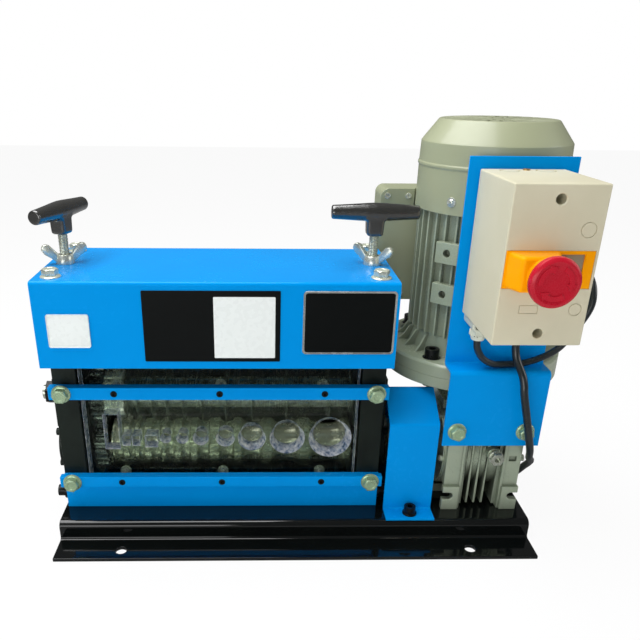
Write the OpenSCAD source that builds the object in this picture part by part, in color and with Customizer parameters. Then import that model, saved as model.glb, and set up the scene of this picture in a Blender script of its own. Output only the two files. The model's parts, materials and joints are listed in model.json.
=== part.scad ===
// Wire stripping machine: folded base, cutting head, worm gearbox with vertical motor, starter box on a bracket.
// Millimetres, Z up, X along the base, the operator stands on the -Y side.
// The origin is the middle of the four mounting holes, on the ground.

/* [Base] */
// length of the folded base
base_l = 520; // [480:5:600]
// depth over the outer faces of the two base walls
base_d = 232; // [220:2:280]
// height of the base top above the ground
base_h = 25; // [22:1:40]
// sheet thickness of the base
base_t = 4; // [3:0.5:5]
// width of the flange in front of each wall
base_flange = 34; // [30:1:45]
// radius of the mounting holes
mount_r = 6; // [4:0.5:8]
// distance of the mounting holes from the wall
mount_inset = 20; // [17:1:26]
// half distance between the mounting holes along X
mount_x = 190; // [150:5:225]

/* [Head] */
// middle of the cutting head along X
head_x = -82; // [-90:1:-80]
// clear width between the side plates
head_in = 300; // [296:1:302]
// thickness of each side plate
plate_t = 25; // [24:0.5:26]
// depth of each side plate
plate_depth = 98; // [96:1:110]
// height of the side plates' top above the ground
plate_top = 278; // [270:1:290]
// thickness of the top plate that holds the pressure screws
top_plate_t = 12.5; // [10:0.5:16]
// sheet thickness of the covers
sheet_t = 2.5; // [2:0.5:3]
// height of the cover's front flap
cover_flap = 89; // [80:1:95]
// depth of the cover
cover_depth = 144; // [142:1:160]
// height of the upper front bar's lower edge above the ground
upper_bar_z = 162.7; // [158:0.1:166]
// height of the upper front bar
upper_bar_h = 14; // [12:0.5:16]
// height of the lower front bar's lower edge above the ground
lower_bar_z = 55.6; // [52:0.1:58]
// height of the lower front bar
lower_bar_h = 13; // [12:0.5:15]
// depth of the front bars
bar_t = 10; // [9:0.5:12]

/* [Guide panel] */
// thickness of the clear guide panel
panel_t = 14.5; // [10:0.5:14.5]
// height of the guide panel's top edge above the ground
panel_top = 212; // [206:1:220]
// height of the guide panel's bottom edge above the ground
panel_bottom = 51; // [45:1:53]
// share of each funnel's radius that is left at its back
funnel_taper = 0.76; // [0.6:0.02:0.9]

/* [Blades and roller] */
// distance between the blade shaft and the roller shaft
centre_dist = 60; // [60:1:61]
// radius of the slitting blades
blade_r = 32.6; // [31:0.1:32.8]
// thickness of a slitting blade
blade_t = 3; // [2:0.5:4]
// radius of the grooved feed roller
roller_r = 24; // [21:0.5:25]
// radius of the shaft journals
journal_r = 10; // [9:0.5:10.5]
// radius of the shafts between the journals
core_r = 12.5; // [12:0.5:14]
// outer radius of the shaft bearings
bearing_r = 23.5; // [22:0.5:24]
// width of the shaft bearings
bearing_w = 14; // [12:0.5:15]
// number of teeth on each spur gear
gear_teeth = 20; // [20:1:20]
// face width of the spur gears
gear_w = 13; // [10:0.5:14]

/* [Pressure screws] */
// half distance between the pressure screws
screw_x = 160; // [158:0.5:162]
// radius of the pressure screws
screw_r = 4.95; // [4.5:0.05:6]
// height of the T-handles' bars above the ground
handle_z = 347; // [335:1:360]
// length of each T-handle's bar
handle_l = 90; // [80:1:100]
// turn of the left T-handle about its screw
handle_turn = 73; // [0:1:90]

/* [Drive] */
// radius of the jaw coupling
coupling_r = 27; // [22:0.5:30]
// width of the coupling guard strip
guard_w = 54; // [48:1:56]
// sheet thickness of the coupling guard
guard_t = 2.5; // [2:0.5:3]

/* [Gearbox] */
// middle of the gearbox along X
gear_x = 208; // [206:1:212]
// height of the output axis above the base top
out_h = 60; // [60:0.5:62]
// distance from the feet face to the output axis
feet_to_axis = 60; // [60:0.5:60]
// distance between the output axis and the worm axis
worm_dist = 50; // [50:0.5:50]
// width of the gearbox housing
housing_w = 85; // [83:0.5:86]
// half spacing of the feet holes along X
feet_x = 35; // [34:0.5:36]
// radius of the input flange
flange_r = 100; // [98:0.5:101]
// radius of the flange bolt circle
flange_bolt_r = 82.5; // [80:0.5:85]

/* [Motor] */
// height of the joint between the two flanges above the ground
joint_z = 177; // [177:0.5:178]
// radius over the motor's fins
motor_r = 73.5; // [72:0.5:75]
// height of the motor housing's lower edge above the ground
motor_z = 212; // [211:0.5:214]
// height of the fan cover's lower edge above the ground
fan_z = 348; // [344:1:352]
// height of the fan cover's top above the ground
fan_top = 434.5; // [430:0.5:440]
// radius of the fan cover
fan_r = 77.5; // [76:0.5:79]
// number of cooling fins round the motor
fins = 36; // [24:2:48]

/* [Switch] */
// width of the switch bracket
bracket_w = 105; // [98:1:110]
// sheet thickness of the switch bracket
bracket_t = 3; // [2.5:0.5:4]
// height of the bracket's lower edge above the ground
bracket_z = 109.5; // [106:0.5:114]
// height of the bracket's top above the ground
bracket_top = 406; // [396:1:412]
// width of the starter enclosure
box_w = 81; // [78:1:86]
// height of the starter enclosure
box_h = 141; // [138:1:146]
// depth of the starter enclosure
box_d = 98; // [94:1:102]
// radius of the mushroom button
mushroom_r = 21.5; // [18:0.5:23]

/* [Cords] */
// radius of the supply cord
cord_r = 4; // [3:0.25:4.5]
// radius of the motor lead
lead_r = 3.6; // [3:0.1:4]
// mean radius of the coil of spare cord
coil_r = 44; // [40:1:50]

/* [Hidden] */
axis_y = -33;
low_z = base_h + out_h;
up_z = low_z + centre_dist;
gear_m = 3;
lead = 1.5;
travel = 5;
fit = 0.05;
gap = 0.3;
plate_in = head_in / 2;
plate_out = plate_in + plate_t;
plate_front = axis_y - plate_depth / 2;
plate_back = axis_y + plate_depth / 2;
slot_w = 60;
slot_z = low_z + bearing_r + 5.5;
block_low = up_z - 26;
block_top = up_z + 31;
cap_t = 5;
cover_out = plate_out + 0.5 + sheet_t;
cover_top = plate_top + top_plate_t + sheet_t;
nip_z = low_z + 27;
slot_x = -118.5;
squares = [[-103.5, 7.8, 11.5], [-93, 7.8, 11.5], [-76.3, 13, 13.6]];
rounds = [[-60.7, 6.2], [-42.5, 6.9], [-22.4, 8.8], [4.2, 10.4], [33.1, 15.3], [71.8, 19.3], [118.9, 23.5]];
blade_x = [-103.5, -93, -76.3, -60.7, -42.5, -22.4, 4.2, 33.1, 71.8, 118.9];
bar_holes = [-110, 0, 110];
bar_bolt_x = plate_in + 14.4;
gear_x0 = -143.5;
panel_back = plate_front + panel_t;
rear_h = 178;
rear_bolt_z = [60, 180];
window_half = plate_in - 12;
window_low = nip_z - 4;
window_high = up_z - 3;
worm_y = axis_y + worm_dist;
feet_y = axis_y - feet_to_axis;
housing_top = base_h + 120;
housing_back = axis_y + 84;
upright_y = feet_y + 22;
ledge_z = joint_z + 16.5;
box_x = gear_x - 0.5;
box_z = 254;
box_front = upright_y - box_d;
shell_y = upright_y - 33;
hex_r = 6.5 / cos(30);
shell_drop = 12;
gland_left = [box_x - (box_w - 3) / 2 + 13, upright_y - 18];
gland_mid = [box_x + 14.5, upright_y - 18];
capacitor_w = 60;
capacitor_h = 128;
capacitor_x = gear_x - 113;
capacitor_z = 232;
capacitor_lid_t = 6;
capacitor_rim = 1.5;
plates_z = cover_top - cover_flap;
$fn = 48;

// Helpers

function unit(v) = v / norm(v);

function bend_points(p0, p1, p2, r, n) =
    let (a = unit(p0 - p1), b = unit(p2 - p1), w = acos(a * b), c = p1 + unit(a + b) * r / sin(w / 2),
        s = p1 + a * r / tan(w / 2), e = p1 + b * r / tan(w / 2), a0 = atan2(s.y - c.y, s.x - c.x),
        a1 = atan2(e.y - c.y, e.x - c.x), turn = (a1 - a0 + 540) % 360 - 180)
    [for (i = [0:n]) c + r * [cos(a0 + turn * i / n), sin(a0 + turn * i / n)]];

function rounded_path(p, r, n) = concat([p[0]],
    [for (i = [1:len(p) - 2]) each bend_points(p[i - 1], p[i], p[i + 1], r, n)], [p[len(p) - 1]]);

function direction(q, i) = unit(q[min(i + 1, len(q) - 1)] - q[max(i - 1, 0)]);

function beside(q, h) = [for (i = [0:len(q) - 1]) let (d = direction(q, i)) q[i] + h * [-d.y, d.x]];

function reversed(q) = [for (i = [len(q) - 1:-1:0]) q[i]];

// folded sheet: the centre line p with bends of radius r, thickness t
module sheet_profile(p, t, r) {
    q = rounded_path(p, r, 6);
    polygon(concat(beside(q, t / 2), reversed(beside(q, -t / 2))));
}

// stands a Y-Z profile up and draws it out along X from x0
module along_x(x0, l) {
    translate([x0, 0, 0]) rotate([90, 0, 90]) linear_extrude(l) children();
}

// round bar along X from x0 to x1 on the axis y, z
module x_bar(x0, x1, r, y = 0, z = 0, fn = 64) {
    translate([x0, y, z]) rotate([0, 90, 0]) cylinder(r = r, h = x1 - x0, $fn = fn);
}

// round bar along Y from y0 to y1
module y_bar(y0, y1, r, x = 0, z = 0, fn = 48) {
    translate([x, y0, z]) rotate([-90, 0, 0]) cylinder(r = r, h = y1 - y0, $fn = fn);
}

// profile of [x, r] points turned about the X axis
module x_turned(points, y = 0, z = 0, fn = 96) {
    translate([0, y, z]) rotate([0, 90, 0]) rotate_extrude($fn = fn)
        polygon([for (p = points) [p[1], p[0]]]);
}

// block with rounded vertical edges, cut from plain shapes
module rounded_block(size, r) {
    linear_extrude(size.z) union() {
        translate([r, 0]) square([size.x - 2 * r, size.y]);
        translate([0, r]) square([size.x, size.y - 2 * r]);
        for (x = [r, size.x - r], y = [r, size.y - r]) translate([x, y]) circle(r, $fn = 32);
    }
}

// hexagon flange bolt: seat on z = 0, shank down
module hex_flange_bolt(l, r = 4) {
    cylinder(r1 = 9, r2 = 8, h = 1.8);
    translate([0, 0, 1.8]) cylinder(r = hex_r, h = 5.4, $fn = 6);
    translate([0, 0, 7.2]) cylinder(r1 = 6.4, r2 = 5.6, h = 0.8);
    translate([0, 0, -l]) cylinder(r = r, h = l);
}

// socket head screw: seat on z = 0, shank down
module socket_screw(r, head_r, head_h, l) {
    difference() {
        cylinder(r = head_r, h = head_h);
        translate([0, 0, head_h * 0.45]) cylinder(r = r * 0.86, h = head_h, $fn = 6);
    }
    translate([0, 0, -l]) cylinder(r = r, h = l);
}

// button head screw with its washer: seat on z = 0, shank down
module button_screw(r, head_r, l) {
    cylinder(r = head_r + 1.6, h = 1);
    translate([0, 0, 1]) difference() {
        intersection() {
            translate([0, 0, -head_r * 0.55]) sphere(r = head_r * 1.14, $fn = 32);
            cylinder(r = head_r, h = head_r);
        }
        translate([0, 0, head_r * 0.25]) cylinder(r = r * 0.6, h = head_r, $fn = 6);
    }
    translate([0, 0, -l]) cylinder(r = r, h = l);
}

// low screw head with a hexagon recess: seat on z = 0, shank down
module flat_screw(r, head_r, l) {
    difference() {
        cylinder(r = head_r, h = 1.4);
        translate([0, 0, 0.5]) cylinder(r = r * 0.7, h = 2, $fn = 6);
    }
    translate([0, 0, -l]) cylinder(r = r, h = l);
}

function flank(m, z, r) =
    let (rp = m * z / 2, rb = rp * cos(20), a = acos(min(1, rb / r)), inv = tan(a) - a * PI / 180,
        inv_p = tan(20) - 20 * PI / 180)
    90 / z - 0.22 / rp * 180 / PI / 2 + (inv_p - inv) * 180 / PI;

// spur gear section: module m, z teeth, one tooth on the +X axis
module gear_section(m, z) {
    rp = m * z / 2;
    radii = [rp - 1.05 * m, rp - 0.45 * m, rp, rp + 0.5 * m, rp + 0.94 * m];
    polygon([for (i = [0:z - 1]) each let (c = i * 360 / z) concat(
        [for (k = [0:4]) let (r = radii[k], h = flank(m, z, max(r, rp * cos(20)))) r * [cos(c - h), sin(c - h)]],
        [for (k = [4:-1:0]) let (r = radii[k], h = flank(m, z, max(r, rp * cos(20)))) r * [cos(c + h), sin(c + h)]])]);
}

// ring sector of the angle a about the X axis
module x_sector(x0, x1, r0, r1, turn, a) {
    translate([x0, axis_y, low_z]) rotate([turn, 0, 0]) rotate([90, 0, 90]) linear_extrude(x1 - x0)
        polygon(concat([for (i = [0:6]) r1 * [cos(a * (i / 6 - 0.5)), sin(a * (i / 6 - 0.5))]],
            [for (i = [6:-1:0]) r0 * [cos(a * (i / 6 - 0.5)), sin(a * (i / 6 - 0.5))]]));
}

// one bearing as a sealed ring along X
module x_bearing(x0, w, ri, ro, y, z) {
    difference() {
        x_bar(x0, x0 + w, ro, y, z);
        x_bar(x0 - 1, x0 + w + 1, ri, y, z);
        for (x = [x0 - 1, x0 + w - 0.8]) difference() {
            x_bar(x, x + 1.8, ro - 3, y, z);
            x_bar(x - 1, x + 3, ri + 3, y, z);
        }
    }
}

// one bearing as a sealed ring along Z
module z_bearing(z0, w, ri, ro, y) {
    translate([gear_x, y, z0]) difference() {
        cylinder(r = ro, h = w, $fn = 64);
        translate([0, 0, -1]) cylinder(r = ri, h = w + 2, $fn = 64);
    }
}

function spline(p, i, t) =
    let (n = len(p) - 1, a = p[max(i - 1, 0)], b = p[i], c = p[min(i + 1, n)], d = p[min(i + 2, n)])
    0.5 * (2 * b + (c - a) * t + (2 * a - 5 * b + 4 * c - d) * t * t + (3 * b - a - 3 * c + d) * t * t * t);

function curve(p, n) = [for (i = [0:len(p) - 2], k = [0:n - 1]) spline(p, i, k / n), each [p[len(p) - 1]]];

function first_side(d) = abs(d.z) < 0.9 ? unit(cross([0, 0, 1], d)) : unit(cross([1, 0, 0], d));

function carried(s, d) = unit(s - (s * d) * d);

function sides(q, i, s) = i >= len(q) ? [] :
    let (t = carried(s, direction(q, i))) concat([t], sides(q, i + 1, t));

// tube of radius r and m sides along the points q
module swept_tube(q, r, m = 10) {
    n = len(q);
    s = sides(q, 0, first_side(direction(q, 0)));
    rings = [for (i = [0:n - 1]) let (d = direction(q, i), u = s[i], v = cross(d, u))
        for (k = [0:m - 1]) q[i] + r * (cos(360 * k / m) * u + sin(360 * k / m) * v)];
    polyhedron(points = rings, faces = concat([[for (k = [0:m - 1]) k]],
        [for (i = [0:n - 2], k = [0:m - 1]) [i * m + k, (i + 1) * m + k, (i + 1) * m + (k + 1) % m, i * m + (k + 1) % m]],
        [[for (k = [m - 1:-1:0]) (n - 1) * m + k]]), convexity = 6);
}

// Base and head frame

base_screws = [for (x = [-plate_out + plate_t / 2, plate_out - plate_t / 2], y = [-30, 30]) [head_x + x, axis_y + y]];
box_screws = [for (x = [-34, 34], y = [feet_y + 47, housing_back - 11]) [gear_x + x, y]];
guard_screws = [[head_x + plate_out + 34.5, plate_front - 21], [head_x + plate_out + 34.5, plate_back + 21]];

module base_channel() {
    w = base_d / 2;
    h = base_h - base_t / 2;
    color([0.03, 0.03, 0.035]) difference() {
        along_x(-base_l / 2, base_l) sheet_profile([[-w - base_flange, base_t / 2], [-w + base_t / 2, base_t / 2],
            [-w + base_t / 2, h], [w - base_t / 2, h], [w - base_t / 2, base_t / 2], [w + base_flange, base_t / 2]],
            base_t, base_t / 2 + 3);
        for (x = [-mount_x, mount_x], y = [-w - mount_inset, w + mount_inset])
            translate([x, y, -1]) cylinder(r = mount_r, h = base_t + 2);
        for (p = concat(base_screws, box_screws, guard_screws))
            translate([p.x, p.y, base_h - base_t - 1]) cylinder(r = 4.2, h = base_t + 2);
    }
}

module side_plate(side) {
    x0 = head_x + (side > 0 ? plate_in : -plate_out);
    out = head_x + side * plate_out;
    color([0.035, 0.04, 0.04]) difference() {
        translate([x0, plate_front, base_h]) cube([plate_t, plate_depth, plate_top - base_h]);
        translate([x0 - 1, axis_y - slot_w / 2 - gap, slot_z]) cube([plate_t + 2, slot_w + 2 * gap, plate_top]);
        x_bar(x0 - 1, x0 + plate_t + 1, journal_r + 3, axis_y, low_z);
        x_bar(side > 0 ? out - bearing_w : out - 1, side > 0 ? out + 1 : out + bearing_w, bearing_r, axis_y, low_z);
        for (z = [upper_bar_z + upper_bar_h / 2, lower_bar_z + lower_bar_h / 2])
            y_bar(plate_front - 1, plate_front + 16, 4, head_x + side * bar_bolt_x, z);
        for (z = rear_bolt_z) y_bar(plate_back - 14, plate_back + 1, 4, head_x + side * bar_bolt_x, z);
        for (p = [[-41, 41], [41, 41], [40, 190]]) x_bar(x0 - 1, x0 + plate_t + 1, 4, axis_y + p.x, p.y);
        for (y = [-30, 30]) translate([head_x + side * (plate_in + plate_t / 2), axis_y + y, base_h - 1])
            cylinder(r = 4, h = 21);
        for (y = [-40, 40]) translate([head_x + side * (plate_in + plate_t / 2), axis_y + y, plate_top - 20])
            cylinder(r = 4, h = 21);
        for (a = [45:90:315]) x_bar(out - 10 * max(side, 0), out + 10 * max(-side, 0), 2.5,
            axis_y + 28 * cos(a), low_z + 28 * sin(a));
    }
}

module side_plate_left() side_plate(-1);

module side_plate_right() side_plate(1);

module head_top_plate() {
    color([0.05, 0.055, 0.06]) difference() {
        translate([head_x - plate_out + 1, axis_y - 68, plate_top]) cube([2 * plate_out - 2, 136, top_plate_t]);
        for (x = [-screw_x, screw_x]) translate([head_x + x, axis_y, plate_top - 1])
            cylinder(r = screw_r + fit + 0.02, h = top_plate_t + 2);
        for (x = [-plate_in - plate_t / 2, plate_in + plate_t / 2], y = [-40, 40])
            translate([head_x + x, axis_y + y, plate_top - 1]) {
                cylinder(r = 4, h = top_plate_t + 2);
                translate([0, 0, top_plate_t + 1 - 8.4]) cylinder(r = 7, h = 10);
            }
        for (x = [-161, 161], y = [-54, 54]) translate([head_x + x, axis_y + y, plate_top + 1])
            cylinder(r = 4, h = top_plate_t);
    }
}

module top_cover() {
    h = cover_top - sheet_t / 2;
    d = cover_depth / 2 - sheet_t / 2;
    color([0.02, 0.28, 0.62]) difference() {
        union() {
            translate([0, axis_y, 0]) along_x(head_x - cover_out, 2 * cover_out) sheet_profile(
                [[-d, cover_top - cover_flap], [-d, h], [d, h], [d, cover_top - cover_flap]], sheet_t, 2.2);
            for (x = [-cover_out, cover_out - sheet_t])
                translate([head_x + x, axis_y - d, cover_top - cover_flap])
                    cube([sheet_t, 2 * d, cover_flap - sheet_t / 2]);
        }
        for (x = [-screw_x, screw_x]) translate([head_x + x, axis_y, cover_top - 10]) cylinder(r = 7, h = 20);
        for (x = [-161, 161], y = [-54, 54]) translate([head_x + x, axis_y + y, cover_top - 10])
            cylinder(r = 4.2, h = 20);
    }
}

// front bar with its bolt holes and the three tapped holes of the guide panel
module front_bar(z, h, t) {
    color([0.02, 0.36, 0.78]) difference() {
        translate([head_x - cover_out, plate_front - bar_t, z]) cube([2 * cover_out, t, h]);
        for (x = [-bar_bolt_x, bar_bolt_x]) y_bar(plate_front - bar_t - 1, plate_front + 1, 4, head_x + x, z + h / 2);
        for (x = bar_holes) y_bar(plate_front - bar_t - 1, plate_front + 1, 2.5, head_x + x, z + h / 2);
    }
}

module upper_front_bar() front_bar(upper_bar_z, upper_bar_h, bar_t);

module lower_front_bar() front_bar(lower_bar_z, lower_bar_h, bar_t - 2);

module lower_front_panel() {
    top = lower_bar_z + lower_bar_h;
    color([0.02, 0.3, 0.66]) difference() {
        translate([head_x - plate_out, plate_front - 2, base_h]) cube([2 * plate_out, 2, top - base_h]);
        for (x = [-bar_bolt_x, bar_bolt_x]) y_bar(plate_front - 3, plate_front + 1, 4, head_x + x, top - lower_bar_h / 2);
        for (x = bar_holes) y_bar(plate_front - 3, plate_front + 1, 2.5, head_x + x, top - lower_bar_h / 2);
    }
}

module rear_panel() {
    color([0.02, 0.3, 0.66]) difference() {
        translate([head_x - plate_out, plate_back, base_h]) cube([2 * plate_out, 2, rear_h]);
        translate([head_x - window_half, plate_back - 1, window_low])
            cube([2 * window_half, 4, window_high - window_low]);
        for (x = [-bar_bolt_x, bar_bolt_x], z = rear_bolt_z) y_bar(plate_back - 1, plate_back + 3, 4, head_x + x, z);
    }
}

module guide_panel() {
    color([0.75, 0.85, 0.9, 0.35]) difference() {
        translate([head_x - 147.5, plate_front, panel_bottom]) cube([295, panel_t, panel_top - panel_bottom]);
        translate([head_x + slot_x - 7.8, plate_front - 1, 99]) cube([15.6, panel_t + 2, 41.5]);
        for (s = squares) translate([head_x + s[0] - s[1] / 2, plate_front - 1, nip_z + 2.8 - s[2]])
            cube([s[1], panel_t + 2, s[2]]);
        for (c = rounds) translate([head_x + c[0], plate_front, nip_z]) rotate([-90, 0, 0]) union() {
            cylinder(r1 = c[1], r2 = c[1] * funnel_taper, h = panel_t * 0.7, $fn = 64);
            cylinder(r = c[1] * funnel_taper, h = panel_t + 1, $fn = 64);
            translate([0, 0, -1]) cylinder(r = c[1], h = 1.01, $fn = 64);
        }
        for (x = bar_holes, z = [upper_bar_z + upper_bar_h / 2, lower_bar_z + lower_bar_h / 2])
            y_bar(plate_front - 1, panel_back + 1, 2.5, head_x + x, z);
    }
}

module tie_rods() {
    color([0.7, 0.7, 0.7]) for (p = [[-41, 41], [41, 41], [40, 190]])
        difference() {
            x_bar(head_x - plate_in, head_x + plate_in, 7.5, axis_y + p.x, p.y);
            for (x = [-plate_in - 1, plate_in - 24]) x_bar(head_x + x, head_x + x + 25, 4, axis_y + p.x, p.y);
        }
}

// Fasteners

module hex_flange_bolts() {
    color([0.66, 0.7, 0.6]) {
        for (x = [-161, 161], y = [-54, 54]) translate([head_x + x, axis_y + y, cover_top]) hex_flange_bolt(12);
        for (x = [-bar_bolt_x, bar_bolt_x], z = [upper_bar_z + upper_bar_h / 2, lower_bar_z + lower_bar_h / 2])
            translate([head_x + x, plate_front - bar_t, z]) rotate([90, 0, 0]) rotate(17) hex_flange_bolt(24);
        for (x = [-bar_bolt_x, bar_bolt_x], z = rear_bolt_z)
            translate([head_x + x, plate_back + 2, z]) rotate([-90, 0, 0]) hex_flange_bolt(15);
        for (x = [-feet_x - 1.8, feet_x + 1.8]) translate([gear_x + x, feet_y - bracket_t, base_h + 102])
            rotate([90, 0, 0]) rotate(12) {
                hex_flange_bolt(bracket_t + 7);
                translate([0, 0, -bracket_t - 13.5]) cylinder(r = hex_r, h = 6.5, $fn = 6);
            }
    }
}

module socket_screws() {
    color([0.04, 0.04, 0.045]) {
        for (p = base_screws) translate([p.x, p.y, base_h - base_t]) rotate([180, 0, 0]) socket_screw(4, 6.5, 8, 18);
        for (p = box_screws) translate([p.x, p.y, base_h - base_t]) rotate([180, 0, 0]) socket_screw(4, 6.5, 8, 12);
        for (p = guard_screws) translate([p.x, p.y, base_h + guard_t + 1.6]) {
            socket_screw(4, 6.5, 8, 8);
            translate([0, 0, -1.6]) difference() {
                cylinder(r = 8, h = 1.6);
                translate([0, 0, -1]) cylinder(r = 4, h = 4);
            }
        }
        for (x = [-plate_in - plate_t / 2, plate_in + plate_t / 2], y = [-40, 40])
            translate([head_x + x, axis_y + y, plate_top + top_plate_t - 8.4]) socket_screw(4, 6.5, 8, 20);
        for (side = [-1, 1], p = [[-41, 41], [41, 41], [40, 190]])
            translate([head_x + side * plate_out, axis_y + p.x, p.y]) rotate([0, side * 90, 0]) {
                cylinder(r = 9, h = 3);
                translate([0, 0, 3]) socket_screw(4, 6.5, 8, 46);
            }
    }
}

fan_screw_a = [45:90:315];
lid_screws = [for (x = [-105.5, -82], z = [240, 352]) [gear_x + x, z]];

module small_screws() {
    color([0.78, 0.78, 0.76]) {
        for (x = bar_holes, z = [upper_bar_z + upper_bar_h / 2, lower_bar_z + lower_bar_h / 2])
            translate([head_x + x, panel_back, z]) rotate([-90, 0, 0]) button_screw(2.5, 4.6, panel_t + 6);
        for (a = fan_screw_a) translate([gear_x, worm_y, fan_z + 10]) rotate(a) translate([fan_r, 0, 0])
            rotate([0, 90, 0]) button_screw(2, 3.4, 8);
        for (p = lid_screws) translate([p.x, worm_y + 24, p.y]) rotate([90, 0, 0]) flat_screw(2, 3.4, 13);
        for (side = [-1, 1], a = [30:60:330]) translate([gear_x + side * (housing_w / 2 + 4), axis_y, low_z])
            rotate([a, 0, 0]) translate([0, 0, 46.4]) rotate([0, side * 90, 0]) button_screw(1.5, 2.2, 8);
        for (z = [11.5, 128.5]) translate([box_x, box_front + 21, box_z + z]) rotate([90, 0, 0])
            button_screw(2, 2.6, 60);
        for (x = [-25, 25], z = [272, 376]) translate([box_x + x, upright_y + bracket_t, z]) rotate([-90, 0, 0])
            button_screw(2, 3.4, 5.5);
    }
}

// Blade carriage

module bearing_block(side) {
    body = plate_t + 2 * gap;
    color([0.06, 0.06, 0.065]) translate([head_x, axis_y, 0]) difference() {
        union() {
            translate([side > 0 ? plate_in - gap : -plate_out - gap, -slot_w / 2, block_low])
                cube([body, slot_w, block_top - block_low]);
            translate([side > 0 ? plate_in - gap - 5 : -plate_in + gap, -34, block_low]) cube([5, 68, block_top - block_low]);
            translate([side > 0 ? plate_out + gap : -plate_out - gap - cap_t, -35, block_low])
                cube([cap_t, 70, block_top - block_low]);
        }
        x_bar(side > 0 ? 140 : -220, side > 0 ? 220 : -140, journal_r + 3, 0, up_z);
        x_bar(side > 0 ? 140 : -plate_in + gap + 5 - bearing_w, side > 0 ? plate_in - gap - 5 + bearing_w : -140,
            bearing_r, 0, up_z);
        for (y = [-25, 25]) translate([side * screw_x, y, block_low - 1]) cylinder(r = 4.6, h = 13);
        translate([side * screw_x, 0, block_top - 6]) cylinder(r = screw_r + 0.1, h = 10);
    }
}

module bearing_blocks() {
    bearing_block(-1);
    bearing_block(1);
}

module blade_shaft_bearings() {
    color([0.75, 0.76, 0.78]) for (side = [-1, 1]) {
        x0 = side > 0 ? plate_in - gap - 5 : -plate_in + gap + 5 - bearing_w;
        x_bearing(head_x + x0, bearing_w, journal_r + fit, bearing_r, axis_y, up_z);
    }
}

module block_springs() {
    h0 = slot_z;
    h = block_low + 12 - h0;
    waves = 5;
    outer = [for (i = [0:waves * 6]) [3.4 - 0.5 * cos(60 * i), h * i / waves / 6]];
    color([0.5, 0.5, 0.52]) for (side = [-1, 1], y = [-25, 25])
        translate([head_x + side * screw_x, axis_y + y, h0]) rotate_extrude($fn = 48)
            polygon(concat([[2.4, 0]], outer, [[2.4, h]]));
}

module blade_shaft() {
    color([0.68, 0.69, 0.7]) translate([head_x, 0, 0]) {
        x_bar(-144, 144, core_r, axis_y, up_z);
        x_bar(-plate_out - gap - cap_t - 1.5, -144, journal_r, axis_y, up_z);
        x_bar(144, plate_out + gap + cap_t, journal_r, axis_y, up_z);
        x_bar(-plate_out - gap - cap_t - 21, -plate_out - gap - cap_t - 1.5, 8, axis_y, up_z);
    }
}

module slitting_blades() {
    color([0.82, 0.83, 0.85]) for (x = blade_x)
        x_turned([[head_x + x - blade_t / 2, core_r], [head_x + x - blade_t / 2, blade_r - 7],
            [head_x + x - 0.15, blade_r], [head_x + x + 0.15, blade_r], [head_x + x + blade_t / 2, blade_r - 7],
            [head_x + x + blade_t / 2, core_r]], axis_y, up_z);
}

module spacer(x0, x1, r) {
    difference() {
        x_bar(head_x + x0, head_x + x1, r, axis_y, up_z);
        x_bar(head_x + x0 - 1, head_x + x1 + 1, core_r, axis_y, up_z);
    }
}

module blade_spacers() {
    ends = concat([-108 - blade_t / 2], blade_x, [144 + blade_t / 2]);
    color([0.72, 0.73, 0.74]) {
        difference() {
            x_bar(head_x + gear_x0 + gear_w, head_x - 108, 26, axis_y, up_z);
            x_bar(head_x + gear_x0 + gear_w - 1, head_x - 107, core_r, axis_y, up_z);
        }
        for (i = [0:len(ends) - 2]) spacer(ends[i] + blade_t / 2, ends[i + 1] - blade_t / 2, 17.5);
    }
}

module upper_gear() {
    color([0.45, 0.46, 0.45]) difference() {
        translate([head_x + gear_x0, axis_y, up_z]) rotate([9, 0, 0]) rotate([90, 0, 90])
            linear_extrude(gear_w) gear_section(gear_m, gear_teeth);
        x_bar(head_x + gear_x0 - 1, head_x + gear_x0 + gear_w + 1, core_r, axis_y, up_z);
    }
}

module blade_shaft_nuts() {
    x = head_x - plate_out - gap - cap_t - 1.5;
    color([0.8, 0.8, 0.78]) difference() {
        x_bar(x - 2.5, x, 15, axis_y, up_z);
        x_bar(x - 9, x + 9, 8, axis_y, up_z);
    }
    color([0.04, 0.04, 0.045]) difference() {
        x_bar(x - 15.5, x - 2.5, 13.6, axis_y, up_z, 6);
        x_bar(x - 29, x + 9, 8, axis_y, up_z);
    }
}

// Feed roller

function groove(x, w, d) = [for (i = [0:6]) let (t = i / 3 - 1) [x + w * t, roller_r - d * sqrt(max(0, 1 - t * t))]];

module feed_roller() {
    profile = concat([[-126, 0], [-126, roller_r]], groove(slot_x, 5.6, 2.5),
        [for (s = squares) each groove(s[0], s[1] / 2 - 0.4, 2.8)],
        [for (c = rounds) each groove(c[0], c[1] * 0.86, min(6.5, 2 + c[1] * 0.24))],
        [[146, roller_r], [146, 0]]);
    color([0.6, 0.61, 0.62]) translate([head_x, 0, 0]) {
        x_turned(profile, axis_y, low_z);
        x_bar(-144.5, -126, core_r, axis_y, low_z);
        x_bar(-plate_out + 0.5, -144.5, journal_r, axis_y, low_z);
        x_bar(146, 148, core_r, axis_y, low_z);
        x_bar(148, 207, journal_r, axis_y, low_z);
    }
}

module lower_gear() {
    color([0.45, 0.46, 0.45]) difference() {
        translate([head_x + gear_x0, axis_y, low_z]) rotate([90, 0, 90])
            linear_extrude(gear_w) gear_section(gear_m, gear_teeth);
        x_bar(head_x + gear_x0 - 1, head_x + gear_x0 + gear_w + 1, core_r, axis_y, low_z);
    }
}

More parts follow.
